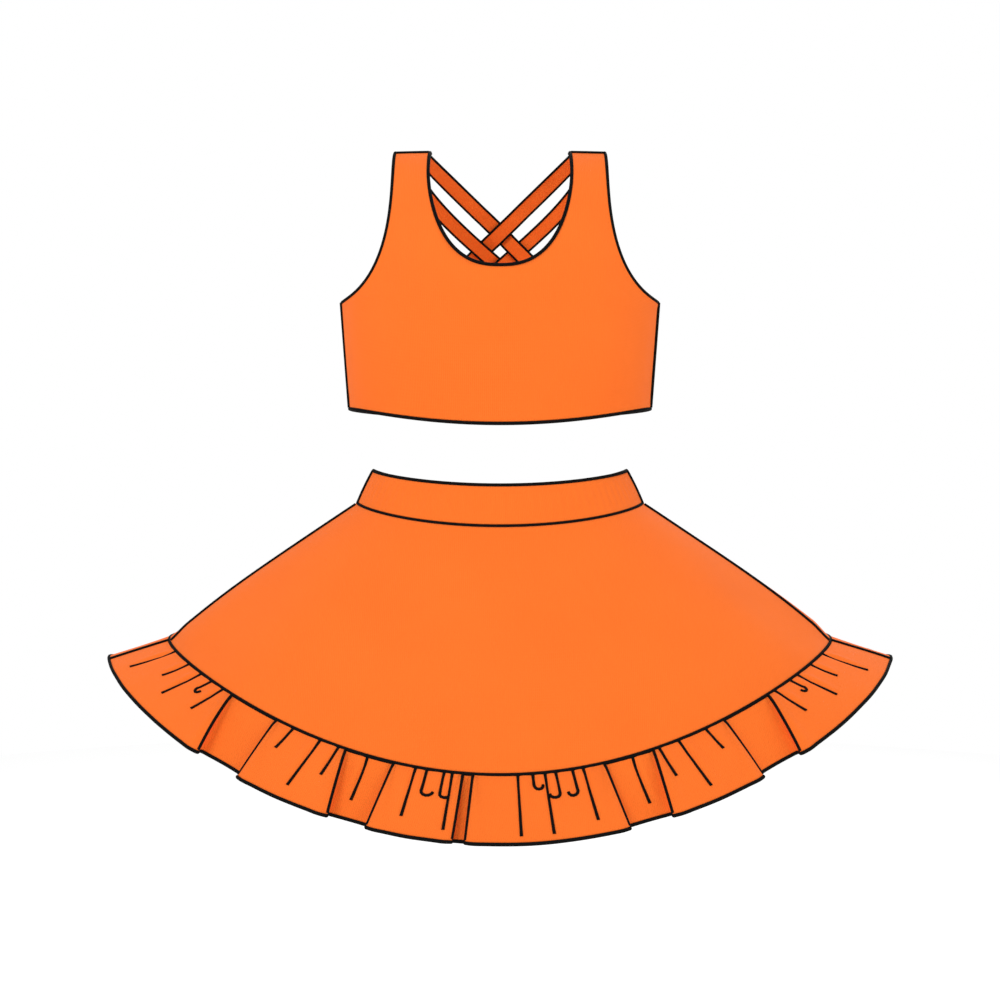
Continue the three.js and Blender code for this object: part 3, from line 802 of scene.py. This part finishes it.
# %% Sew the top's piping
piece("neck_binding", tube(neck_route, 220, BOUND), black_binding, "top", "neck_piping")
piece("back_binding", tube(back_edge_route, 140, BOUND), black_binding, "top", "back_edge_piping")
piece("top_hem_binding", tube(top_hem_route, 240, BOUND, closed=True), black_binding, "top",
      "top_hem_piping")
for word, side in (("left", 1), ("right", -1)):
    piece(f"armhole_binding_{word}", tube(armhole_route(side), 120, BOUND), black_binding, "top",
          f"armhole_piping_{word}")
    piece(f"top_side_binding_{word}", tube(top_side_route(side), 60, SEAM_CORD), black_binding,
          "top")
    piece(f"shoulder_binding_{word}", tube(shoulder_seam_route(side), 20, SEAM_CORD, upwards),
          black_binding, "top")
print("piping on the top:", sorted(name for name in made if "binding" in name))

# %% [markdown]
# ## Inside the top: elastic and tapes
# A band of elastic holds the hem to the ribs. It is a closed ring of woven tape behind the lining.
# Short tapes cover the side seams, and one behind each shoulder seam holds the ends of the straps.

# %% A band that closes round the body
def closed_band(steps_round, steps_up, spot, depth=0.0):
    mesh = bent_grid(steps_round, steps_up, spot)
    bmesh.ops.remove_doubles(mesh, verts=mesh.verts, dist=1e-6)
    mesh.normal_update()
    return sink(mesh, depth)


def top_elastic_spot(u, v):
    angle = TURN * u
    rise = top_hem(angle, mix(2.4 * MM, 14.4 * MM, v))
    return torso(angle, rise), torso_flat(angle, rise)


def side_tape_spot(side):
    def spot(u, v):
        angle = side * QUARTER + mix(-TAPE_HALF, TAPE_HALF, u) / CHEST_DEPTH
        rise = mix(top_hem(angle, 15.2 * MM), as_rise(-2.6 * MM), v)
        return torso(angle, rise), (mix(-TAPE_HALF, TAPE_HALF, u), SHOULDER_RISE * rise)

    return spot


def shoulder_tape_spot(side):
    def spot(u, v):
        angle = side * mix(NECK_ANGLE + 0.016, ARM_ANGLE - 0.018, u if side > 0 else 1 - u)
        over = mix(-7, 7, v) * MM
        lift = (FABRIC / 2 + 1.2 * MM + LINING_DEPTH * ease(-over, 0, 4 * MM))
        point = torso(angle, QUARTER + over / CHEST_DEPTH) - Vector((0, 0, lift))
        return point, (CHEST_WIDTH * angle, over)

    return spot


hem_elastic = piece("hem_elastic", closed_band(200, 6, top_elastic_spot, ELASTIC_DEPTH),
                    white_elastic, "top", "top_hem_elastic", ELASTIC)
declare_cloth(hem_elastic)
for word, side in (("left", 1), ("right", -1)):
    tape = piece(f"side_tape_{word}", sink(bent_grid(8, 40, side_tape_spot(side)), TAPE_DEPTH),
                 orange_lining, "top", f"top_side_seam_{word}", LINING)
    declare_cloth(tape)
    tape = piece(f"shoulder_stay_{word}", bent_grid(16, 10, shoulder_tape_spot(side)),
                 orange_lining, "top", f"shoulder_tape_{word}", LINING)
    declare_cloth(tape)

# %% [markdown]
# ## The crossed straps
# Two straps run from each shoulder to the far side of the back. Each crosses both straps of the
# other pair, over one and under the other, so that the four lock in a small lattice behind the neck.
# A strap is a narrow grid laid along its route. Where two cross, each leaves the middle by a little
# more than the radius of its edges, which are bound in black, like every other edge.

# %% Routes of the straps
STRAP_PITCH = 15.8 * MM       # the room that one strap has on the shoulder
STRAP_WIDTHS = {"upper": 15.2 * MM, "lower": 14.2 * MM}
STRAP_LENGTHS = {"upper": 236 * MM, "lower": 228 * MM}
STRAP_THICK = 1.0 * MM
STRAP_LIFT = 1.5 * MM
STRAP_EDGE = 1.25 * MM        # radius of the black edge
STRAP_SPACE = 0.6 * MM        # between the two straps at the shoulder
STRAP_DIVE = 26 * MM          # how far above the back's edge a strap starts to dive behind it
STRAP_BEHIND = 11 * MM        # and how far above it the strap is all the way behind
STRAP_TRIM = 0.2 * MM         # how far the middle of a black edge lies inside the strap
EDGE_DROP = SHOULDER_TOP - UNDERARM - BACK_RISE
STRAP_START = NECK_SIDE + 0.9 * MM + STRAP_PITCH / 2
UPPER_CENTRE = 66.6 * MM      # how far below the shoulder a strap crosses the centre line
LOWER_CENTRE = 100.8 * MM
CROSSING = (LOWER_CENTRE - UPPER_CENTRE) / 2
STRAP_ROUTES = {
    "upper": [(0, STRAP_START), (UPPER_CENTRE, 0), (EDGE_DROP, -76 * MM)],
    "lower": [(0, STRAP_START + STRAP_PITCH + STRAP_SPACE), (28 * MM, 79 * MM), (LOWER_CENTRE, 0),
              (EDGE_DROP, -42 * MM)],
}


def through(pairs, value):
    """The curve through a few pairs of input and output."""
    total = 0.0
    for here, result in pairs:
        weight = 1.0
        for other, _ in pairs:
            if other != here:
                weight *= (value - other) / (here - other)
        total += weight * result
    return total


def weave_lift(onward):
    """How far a strap leaves the middle. onward is the way from the centre to its outer crossing."""
    if onward < 0:
        return STRAP_LIFT * (1 - ease(-onward, 0.7 * CROSSING, 1.4 * CROSSING))
    if onward > CROSSING:
        return -STRAP_LIFT * (1 - ease(onward, 2 * CROSSING, 2.8 * CROSSING))
    return STRAP_LIFT * math.tanh(3 * math.cos(math.pi * onward / CROSSING)) / math.tanh(3)


def strap_place(side, row):
    """A function that gives a point of a strap: u along it, and a distance from its middle."""
    onward_side = side * (-1 if row == "upper" else 1)
    last = rise_at(UNDERARM - 1 * MM)

    def middle(u):
        rise = mix(QUARTER - 0.2 * MM / BACK_DEPTH, last, u)
        drop = SHOULDER_TOP - height_at(rise)
        across = side * through(STRAP_ROUTES[row], drop)
        angle = math.pi - math.asin(across / CHEST_WIDTH)
        tucked = ease(drop, EDGE_DROP - STRAP_DIVE, EDGE_DROP - STRAP_BEHIND)
        tuck = (FABRIC / 2 + PIPING + STRAP_THICK) * tucked
        lift = -side * weave_lift(onward_side * across) - tuck
        return torso(angle, rise), torso_out(angle, rise), lift

    def place(u, aside):
        point, out, lift = middle(u)
        before, after = (middle(min(1.0, max(0.0, t)))[0] for t in (u - 1e-3, u + 1e-3))
        across = out.cross(after - before).normalized()
        narrow = mix(0.93, 1.0, ease(u, 0, 0.12))
        return point + across * aside * narrow + out * lift

    return place


# %% Sew the straps and their edges
def together(*meshes):
    """Several bmeshes as one."""
    whole = bmesh.new()
    for mesh in meshes:
        part = bpy.data.meshes.new("part")
        mesh.to_mesh(part)
        mesh.free()
        whole.from_mesh(part)
        bpy.data.meshes.remove(part)
    return whole


for side, word in ((1, "left"), (-1, "right")):
    for row in ("upper", "lower"):
        place = strap_place(side, row)
        long, half = STRAP_LENGTHS[row], STRAP_WIDTHS[row] / 2

        def strap_spot(u, v):
            aside = mix(-half, half, v)
            return place(u, aside), (u * long, aside)

        strap = piece(f"strap_{word}_{row}", bent_grid(150, 6, strap_spot), orange_knit, "top",
                      f"back_strap_{word}_{row}", STRAP_THICK, smooth=1)
        edges = [tube(lambda t: place(t, aside), 150, STRAP_EDGE)
                 for aside in (STRAP_TRIM - half, half - STRAP_TRIM)]
        binding_piece = piece(f"strap_binding_{word}_{row}", together(*edges), black_binding, "top")
        declare_cloth(strap)

# %% [markdown]
# ## The skirt's rings and its smooth panels
# Four rings give the skirt its shape: the waistband's two edges, the seam of the ruffle and the hem.
# Between two rings the cloth runs nearly straight. A flared panel is cut as part of a flat ring, so
# its pattern is worked out as one: the knit's columns run straight down the centre front and at a
# slant at the sides, as on the real skirt.

# %% Bands between two rings
def ring_point(edge, angle):
    facing = abs(math.cos(angle))
    height = edge["height"] - edge["drop"] * facing ** edge["curve"]
    return Vector((edge["width"] * math.sin(angle), -edge["depth"] * math.cos(angle), height))


def band(upper, lower, fullness=0.0):
    """point(angle, part) on the cloth between two rings, where part is 0 above and 1 below."""
    def point(angle, part):
        straight = ring_point(upper, angle).lerp(ring_point(lower, angle), part)
        swell = fullness * math.sin(math.pi * min(1.0, max(0.0, part)))
        return straight + Vector((math.sin(angle), -math.cos(angle), 0)) * swell

    return point


def facing_out(point, angle, part):
    return -slope(point, angle, part)


def half_round(edge):
    """Half the length of a ring, from side to side."""
    steps = 90
    points = [ring_point(edge, math.pi * (i / steps - 0.5)) for i in range(steps + 1)]
    return sum((b - a).length for a, b in zip(points, points[1:]))


WAISTBAND_SWELL = 0.6 * MM    # how far the cloth swells out between its two rings
SKIRT_SWELL = 5.5 * MM
waist_point = band(WAIST_EDGE, WAIST_SEAM, WAISTBAND_SWELL)
skirt_point = band(WAIST_SEAM, RUFFLE_SEAM, SKIRT_SWELL)
ruffle_point = band(RUFFLE_SEAM, RUFFLE_HEM)
SKIRT_SLANT = (ring_point(WAIST_SEAM, 0.8) - ring_point(RUFFLE_SEAM, 0.8)).length
FLAT_RADIUS = SKIRT_SLANT / (half_round(RUFFLE_SEAM) / half_round(WAIST_SEAM) - 1)
FLAT_TURN = half_round(WAIST_SEAM) / FLAT_RADIUS / math.pi
BAND_HEIGHT = (ring_point(WAIST_EDGE, 0) - ring_point(WAIST_SEAM, 0)).length
print("waist, half round:", round(half_round(WAIST_SEAM), 3), "seam:", round(half_round(RUFFLE_SEAM), 3))


# %% Waistband: shell, elastic and facing
def waistband_spot(inset):
    def spot(u, v):
        angle = TURN * u
        part = mix(1 - inset / BAND_HEIGHT, inset / BAND_HEIGHT, v)
        point = waist_point(angle, part)
        pull = 0.2 * MM * math.sin(angle * 90) * math.sin(math.pi * part)
        point += facing_out(waist_point, angle, part) * pull
        return point, (2 * half_round(WAIST_SEAM) * u, BAND_HEIGHT * (1 - part))

    return spot


shell = piece("waistband", closed_band(720, 14, waistband_spot(0.5 * MM)), orange_knit, "skirt",
              "waistband_shell", FABRIC)
waist_elastic = piece("waist_elastic", closed_band(240, 8, waistband_spot(4 * MM), 1.8 * MM),
                      white_elastic, "skirt", "waistband_elastic", ELASTIC)
facing = piece("waistband_inside", closed_band(240, 8, waistband_spot(1.4 * MM), 3.6 * MM),
               orange_lining, "skirt", "waistband_facing", LINING)
for thing in (shell, waist_elastic, facing):
    declare_cloth(thing)


# %% Skirt panels
def sway(angle, part):
    """Soft flutes that the hang of a flared skirt has, flat at both seams."""
    slow = math.sin(angle * 9 + 1.2) + 0.6 * math.sin(angle * 14 + 0.4)
    slow += 0.8 * noise.noise(Vector((angle * 4.0, part * 1.5, 5.1)))
    return 1.6 * MM * slow * ease(part, 0.15, 0.8) * ease(1 - part, 0, 0.12)


def skirt_spot(facing_angle):
    def spot(u, v):
        part = mix(1 - SEWN_IN / SKIRT_SLANT, SEWN_IN / SKIRT_SLANT, v)
        turned = mix(-1, 1, u) * (QUARTER - 0.25 * MM / RUFFLE_SEAM["depth"])
        angle = facing_angle + turned
        point = skirt_point(angle, part) + facing_out(skirt_point, angle, part) * sway(angle, part)
        flat = FLAT_RADIUS + part * SKIRT_SLANT
        return point, (flat * math.sin(turned * FLAT_TURN), -flat * math.cos(turned * FLAT_TURN))

    return spot


for word, facing_angle in (("front", 0), ("back", math.pi)):
    panel = piece(f"skirt_{word}", bent_grid(300, 80, skirt_spot(facing_angle)), orange_knit,
                  "skirt", f"skirt_{word}_panel", FABRIC)
    declare_cloth(panel)


# %% Piping and tapes of the skirt
def ring_route(edge):
    return lambda t: ring_point(edge, TURN * t)


def side_route(point, upper, lower, side, lift):
    def route(t):
        angle = side * mix(*(side_angle(edge["width"], edge["depth"]) for edge in (upper, lower)), t)
        part = mix(0.01, 0.99, t)
        return point(angle, part) + facing_out(point, angle, part) * lift(angle, part)

    return route


def on_waistband(angle, part):
    return ON_CLOTH


def on_skirt(angle, part):
    return sway(angle, part) + ON_CLOTH


def side_seam_spot(side):
    def spot(u, v):
        part = mix(0.99, 0.01, v)
        depth = mix(WAIST_SEAM["depth"], RUFFLE_SEAM["depth"], part)
        angle = side * QUARTER + mix(-TAPE_HALF, TAPE_HALF, u) / depth
        point = skirt_point(angle, part) + facing_out(skirt_point, angle, part) * sway(angle, part)
        return point, (mix(-TAPE_HALF, TAPE_HALF, u), -SKIRT_SLANT * part)

    return spot


for name, edge, node in (("waist_top_binding", WAIST_EDGE, "waistband_top_piping"),
                         ("waist_binding", WAIST_SEAM, "waist_seam_piping"),
                         ("ruffle_binding", RUFFLE_SEAM, "ruffle_seam_piping")):
    piece(name, tube(ring_route(edge), 360, BOUND, closed=True), black_binding, "skirt", node)
for word, side in (("left", 1), ("right", -1)):
    route = side_route(waist_point, WAIST_EDGE, WAIST_SEAM, side, on_waistband)
    piece(f"waistband_side_binding_{word}", tube(route, 24, SEAM_CORD), black_binding, "skirt")
    route = side_route(skirt_point, WAIST_SEAM, RUFFLE_SEAM, side, on_skirt)
    piece(f"skirt_side_binding_{word}", tube(route, 90, SEAM_CORD), black_binding, "skirt")
    tape = piece(f"skirt_side_tape_{word}",
                 sink(bent_grid(8, 60, side_seam_spot(side)), 1.6 * MM), orange_lining, "skirt",
                 f"skirt_side_seam_{word}", LINING)
    declare_cloth(tape)

# %% [markdown]
# ## The ruffle
# The ruffle is a straight strip, a third longer than the seam that it is gathered into. The fullness
# bunches up in folds: broad lobes stand forward, and between them narrow strips are tucked back, so
# that each lobe overhangs its neighbour. The strip's line, seen from below, goes out along a lobe,
# round its edge, back behind it and into the tuck. That line is a smooth curve through a few knots at
# each fold. At the seam the same knots are squeezed together, so the fold opens towards the hem.
# Short creases run down from the gathers and fade. Near the side seams the hem hangs a little lower,
# so that the far half of the ruffle stays hidden behind the near one.

# %% Folds and creases of the ruffle
# Each tuck: the angles of its two edges at the seam and at the hem, in degrees from the middle.
FRONT_TUCKS = [
    ((-46.5, -42.0), (-36.5, -34.8)),
    ((-23.5, -21.5), (-16.0, -16.4)),
    ((-5.3, -5.8), (-4.1, -4.2)),
    ((15.7, 15.9), (23.3, 21.5)),
    ((36.6, 34.9), (46.5, 41.6)),
]
# Each crease: its angle, and how far down the ruffle it reaches.
FRONT_CREASES = [
    (-69, 0.75), (-61, 0.45), (-56, 0.65), (-52.5, 0.25), (-49, 0.55), (-33, 0.4), (-28, 0.8),
    (-24.8, 0.5), (-20, 0.7), (-12.5, 0.75), (-10.8, 0.35), (-8.2, 0.35), (-7, 0.85), (2.6, 0.9),
    (4.8, 0.2), (6.6, 0.9), (8.2, 0.35), (10.7, 0.35), (12.3, 0.8), (20, 0.75), (24.4, 0.5),
    (27.8, 0.8), (32.8, 0.4), (48.4, 0.55), (53, 0.25), (55.5, 0.65), (60.8, 0.45), (67.3, 0.75),
]
dice = random.Random(11)
BACK_TUCKS = []
for middle in range(-44, 45, 22):
    centre = middle + dice.uniform(-2.5, 2.5)
    half = dice.uniform(1.0, 3.6)
    BACK_TUCKS.append(((centre - half * 1.3, centre - half), (centre + half * 1.3, centre + half)))


def clear_of_tucks(angle):
    return all(abs(angle - at) > 3.5 for tuck in BACK_TUCKS for edge in tuck for at in edge)


random_creases = [(angle + dice.uniform(-1.2, 1.2), dice.uniform(0.42, 0.85))
                  for angle in range(-76, 77, 4)]
BACK_CREASES = [crease for crease in random_creases if clear_of_tucks(crease[0])]
print("creases on the back:", len(BACK_CREASES))

# One edge of a tuck, from the lobe into the tuck: the way along and out, at the hem and at the seam.
EDGE_AT_HEM = [(-17, 7.5), (-5, 7.8), (-0.2, 4.6), (-3.2, 0.2), (-4.4, -4.6), (2.0, -7.6)]
EDGE_AT_SEAM = [(-5, 0.8), (-2.6, 1.0), (-0.8, 0.6), (0.6, -0.4), (2.0, -0.9), (4.0, -0.6)]
LOBE_OUT = 8.5                # millimetres, as in the two lists above
# The calm end of each half, from the side seam inwards: an angle, and how far out the cloth stands.
END_KNOTS = [(QUARTER - 0.0001, 0.0), (math.radians(74), 1.5), (math.radians(58), LOBE_OUT * 0.6)]
CREASE_SPAN = 14              # how far a crease bends the cloth to each side, also in millimetres
DENT, DENT_WIDTH = -3.0, 2.0
RIDGE, RIDGE_WIDTH, RIDGE_ASIDE = 1.8, 3.4, 5.0
CRUMPLE = 1.2                 # uneven cloth at the hem
LOBE_DROP = 0.6               # how much a lobe hangs lower, as a share of how far it stands out
CALM_SIDE = 0.35              # the angle from a side seam within which the cloth lies calm
DROOP = 7.5 * MM              # how much lower the hem hangs at the side seams
DROOP_AT = QUARTER + 0.035    # its middle and its spread, as angles from the front
DROOP_SPREAD = 0.17


def ring_speed(edge, angle):
    """Metres along a ring for each radian."""
    return math.hypot(edge["width"] * math.cos(angle), edge["depth"] * math.sin(angle))


def edge_knots(edge_angles, direction, deep):
    """Knots (angle and out, at the seam and at the hem) of one edge of a tuck. deep is at most 1."""
    seam, hem = (math.radians(a) for a in edge_angles)
    knots = []
    for (along_seam, out_seam), (along_hem, out_hem) in zip(EDGE_AT_SEAM, EDGE_AT_HEM):
        at_seam = seam + direction * along_seam * MM / ring_speed(RUFFLE_SEAM, seam)
        at_hem = hem + direction * along_hem * MM / ring_speed(RUFFLE_HEM, hem)
        out_hem *= deep if out_hem < 0 else 1
        knots.append((Vector((at_seam, out_seam * MM)), Vector((at_hem, out_hem * MM))))
    return knots[::direction]


def plain_knot(angle, out):
    return Vector((angle, 0.0)), Vector((angle, out * MM))


def strip_knots(tucks):
    """All knots of half the ruffle, from side to side, and which of them are the edges of folds."""
    knots = [plain_knot(-angle, out) for angle, out in END_KNOTS]
    folds = []
    last = None
    for left, right in tucks:
        if last is not None:
            seam, hem = ((a + b) / 2 for a, b in zip(last, left))
            knots.append((Vector((math.radians(seam), 0)), Vector((math.radians(hem), LOBE_OUT * MM))))
        deep = min(1.0, (right[1] - left[1]) / 6)
        folds.append(len(knots) + 2)
        knots += edge_knots(left, 1, deep)
        folds.append(len(knots) + 3)
        knots += edge_knots(right, -1, deep)
        last = right
    knots += [plain_knot(angle, out) for angle, out in reversed(END_KNOTS)]
    return knots, folds


class Strip:
    """Half of the ruffle: a smooth line through its knots, from the seam to the hem."""

    def __init__(self, facing_angle, tucks, creases):
        self.facing = facing_angle
        self.creases = [(math.radians(a), reach) for a, reach in creases]
        self.knots, self.folds = strip_knots(tucks)
        self.stations = [0.0]
        for (_, before), (_, after) in zip(self.knots, self.knots[1:]):
            middle = (before.x + after.x) / 2
            gap = (after.x - before.x) * ring_speed(RUFFLE_HEM, middle)
            self.stations.append(self.stations[-1] + math.hypot(gap, after.y - before.y))
        self.length = self.stations[-1]

    def knot(self, i, part):
        i = min(len(self.knots) - 1, max(0, i))
        seam, hem = self.knots[i]
        return Vector((mix(seam.x, hem.x, part), mix(seam.y, hem.y, part ** 0.7)))

    def tangent(self, i, part):
        last = len(self.knots) - 1
        before, after = max(0, i - 1), min(last, i + 1)
        gap_before = self.stations[i] - self.stations[before]
        gap_after = self.stations[after] - self.stations[i]
        here = self.knot(i, part)
        total = gap_before + gap_after
        slope_before = (here - self.knot(before, part)) / gap_before if gap_before else Vector((0, 0))
        slope_after = (self.knot(after, part) - here) / gap_after if gap_after else Vector((0, 0))
        return (slope_before * gap_after + slope_after * gap_before) / total if (
            gap_before and gap_after) else slope_before + slope_after

    def line(self, along, part):
        """The angle and the way out at a place along the strip."""
        i = 0
        while i < len(self.stations) - 2 and along > self.stations[i + 1]:
            i += 1
        gap = self.stations[i + 1] - self.stations[i]
        t = (along - self.stations[i]) / gap
        a, b = self.knot(i, part), self.knot(i + 1, part)
        m, n = self.tangent(i, part) * gap, self.tangent(i + 1, part) * gap
        return (a * (2 * t ** 3 - 3 * t ** 2 + 1) + m * (t ** 3 - 2 * t ** 2 + t)
                + b * (3 * t ** 2 - 2 * t ** 3) + n * (t ** 3 - t ** 2))

    def crease(self, angle, part):
        """A sharp dent beside a soft ridge, along each short crease."""
        dent = 0.0
        for at, reach in self.creases:
            away_by = (angle - at) * ring_speed(RUFFLE_SEAM, at) * math.copysign(1, at) / MM
            if abs(away_by) < CREASE_SPAN and part < reach:
                fade = (1 - part / reach) ** 0.6 * min(1.0, 0.25 + 3 * part)
                sharp = DENT * math.exp(-(away_by / DENT_WIDTH) ** 2)
                ridge = RIDGE * math.exp(-((away_by - RIDGE_ASIDE) / RIDGE_WIDTH) ** 2)
                dent += (sharp + ridge) * fade
        return dent * MM

    def point(self, along, part, lift=0.0):
        """A point of the ruffle: 0 at the seam and 1 at the hem, lifted off the middle of its cloth."""
        turned, out = self.line(along, part)
        angle = self.facing + turned
        inside = ease(QUARTER - abs(turned), 0, CALM_SIDE)
        rough = noise.noise(Vector((along * 30, part * 1.2, self.facing)))
        rough *= CRUMPLE * MM * part * inside
        out = (out + self.crease(turned, part)) * mix(0.3, 1.0, ease(part, 0, 0.12)) + rough
        normal = facing_out(ruffle_point, angle, part)
        down = (ruffle_point(angle, part + 0.01) - ruffle_point(angle, part - 0.01)).normalized()
        fall = (out - LOBE_OUT * MM / 2) * LOBE_DROP * part * inside
        from_front = abs(turned) if self.facing == 0 else math.pi - abs(turned)
        droop = DROOP * part * math.exp(-((from_front - DROOP_AT) / DROOP_SPREAD) ** 2)
        place = ruffle_point(angle, part) + normal * (out + lift) + down * fall
        return place - Vector((0, 0, droop))

    def follow(self, angle, part, near, reach=10 * MM):
        """The place along the strip, within reach of another, where the cloth is at an angle."""
        low, high = near - reach, near + reach
        for _ in range(12):
            middle = (low + high) / 2
            if self.line(middle, part)[0] < angle:
                low = middle
            else:
                high = middle
        return (low + high) / 2

    def fold_lines(self, steps=16):
        """The points along each edge of a fold, and along each crease."""
        lines = []
        for i in self.folds:
            lines.append([self.point(self.stations[i], mix(0.01, 0.97, j / steps), FOLD_LIFT)
                          for j in range(steps + 1)])
        for angle, reach in self.creases:
            starts = (self.length * i / 300 for i in range(301))
            near = min(starts, key=lambda along: abs(self.line(along, 0.0)[0] - angle))
            line = []
            for j in range(steps + 1):
                part = mix(0.01, reach, j / steps)
                near = self.follow(angle, part, near)
                line.append(self.point(near, part, FOLD_LIFT))
            lines.append(line + (self.hook(angle, reach, near) if reach < 0.4 else []))
        return lines

    def hook(self, angle, reach, near, steps=6):
        """Half a turn back up, towards the middle of the skirt, or away from it close to the middle."""
        towards = math.copysign(1, -angle if abs(angle) > 0.12 else angle)
        points = []
        for j in range(1, steps + 1):
            turn = math.pi * j / steps
            beside = near + towards * (1 - math.cos(turn)) * 3.5 * MM
            points.append(self.point(beside, reach + math.sin(turn) * 0.06, FOLD_LIFT))
        return points


# %% Sew the ruffle
RUFFLE_DEPTH = (ring_point(RUFFLE_SEAM, 0.8) - ring_point(RUFFLE_HEM, 0.8)).length
RUFFLE_THICK = 1.0 * MM
# The fold cords are painted shade: black lines where the folds and creases would only be in shade.
FOLD_SHADE_CORD = 1.4 * MM          # radius
FOLD_LIFT = 0.5 * MM          # how far its middle lies outside the middle of the cloth
strips = {"front": Strip(0.0, FRONT_TUCKS, FRONT_CREASES),
          "back": Strip(math.pi, BACK_TUCKS, BACK_CREASES)}


def strip_spot(strip):
    def spot(u, v):
        along, part = u * strip.length, mix(0.985, 0.0, v)
        return strip.point(along, part), (along, RUFFLE_DEPTH * (1 - part))

    return spot


for word, strip in strips.items():
    ruffle = piece(f"ruffle_{word}_half", bent_grid(900, 36, strip_spot(strip)), orange_knit,
                   "skirt", f"ruffle_{word}", RUFFLE_THICK)
    declare_cloth(ruffle)


# %% [markdown]
# ## Black cords for the folds' painted shade, and trim round the ruffle
# A thin black cord lies along the edge of each fold and along each crease. It is painted shade: a dark
# line put where the cloth of a fold or crease would only be in shade, so that the folds read as clear
# lines from far away. Each follows the cloth: the strip is asked where its angle is that of the crease,
# step by step down from the seam. The shortest end in a small hook. The hem is rolled into black
# edging, and piping crosses the ruffle at both sides.

# %% Black cords for the painted shade of the folds
def cord(points, radius):
    last = len(points) - 1
    return tube(lambda t: points[round(t * last)], last, radius)


# Painted shade: a black cord along each fold edge and crease of the ruffle, where the cloth would only
# be in shade.
for word, strip in strips.items():
    lines = strip.fold_lines()
    piece(f"ruffle_fold_shade_cords_{word}", together(*(cord(line, FOLD_SHADE_CORD) for line in lines)),
          black_binding, "skirt")
    print("fold lines on the", word, "of the ruffle:", len(lines))


# %% Piping across the ruffle's sides
def ruffle_side_route(side):
    strip = strips["front"]

    def route(t):
        upper, lower = (side_angle(edge["width"], edge["depth"]) + 0.03
                        for edge in (RUFFLE_SEAM, RUFFLE_HEM))
        part = mix(0.01, 0.985, t)
        angle = side * mix(upper, lower, t)
        end = strip.length if side > 0 else 0.0
        return strip.point(strip.follow(angle, part, end - side * 60 * MM, 58 * MM), part, ON_CLOTH)

    return route


for word, side in (("left", 1), ("right", -1)):
    piece(f"ruffle_side_binding_{word}", tube(ruffle_side_route(side), 24, SEAM_CORD), black_binding,
          "skirt")


# %% The ruffle's hem
def hem_route(t):
    word, part = ("front", t * 2) if t < 0.5 else ("back", t * 2 - 1)
    return strips[word].point(part * strips[word].length, 1.0)


def sloping(point):
    return away(point) - Vector((0, 0, 1))


piece("ruffle_hem_binding", tube(hem_route, 1800, PIPING * 1.05, sloping, closed=True), black_binding,
      "skirt", "ruffle_hem_edging")

# %% [markdown]
# ## Care labels
# A blank satin label hangs inside the back of each garment: from the upper edge of the top's back, and
# from the waist seam. It is a short ribbon, so it curls a little at its free end.

# %% Sew the labels
LABEL_THICK = 0.4 * MM
LABEL_CURL = 1.2 * MM         # at its free end
LABEL_CUP = 0.4 * MM          # across its middle


def label(name, node, body):
    low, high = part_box(node)
    width, long = high.x - low.x, high.z - low.z

    def spot(u, v):
        curl = LABEL_CURL * (1 - v) ** 2 - LABEL_CUP * math.sin(math.pi * u)
        place = Vector((mix(high.x, low.x, u), (low.y + high.y) / 2 - curl, mix(low.z, high.z, v)))
        return place, (width * u, long * v)

    thing = piece(name, bent_grid(16, 20, spot), label_satin, body, node, LABEL_THICK, smooth=1)
    return declare_cloth(thing)


label("top_label_ribbon", "top_care_label", "top_label")
label("skirt_label_ribbon", "skirt_care_label", "skirt_label")
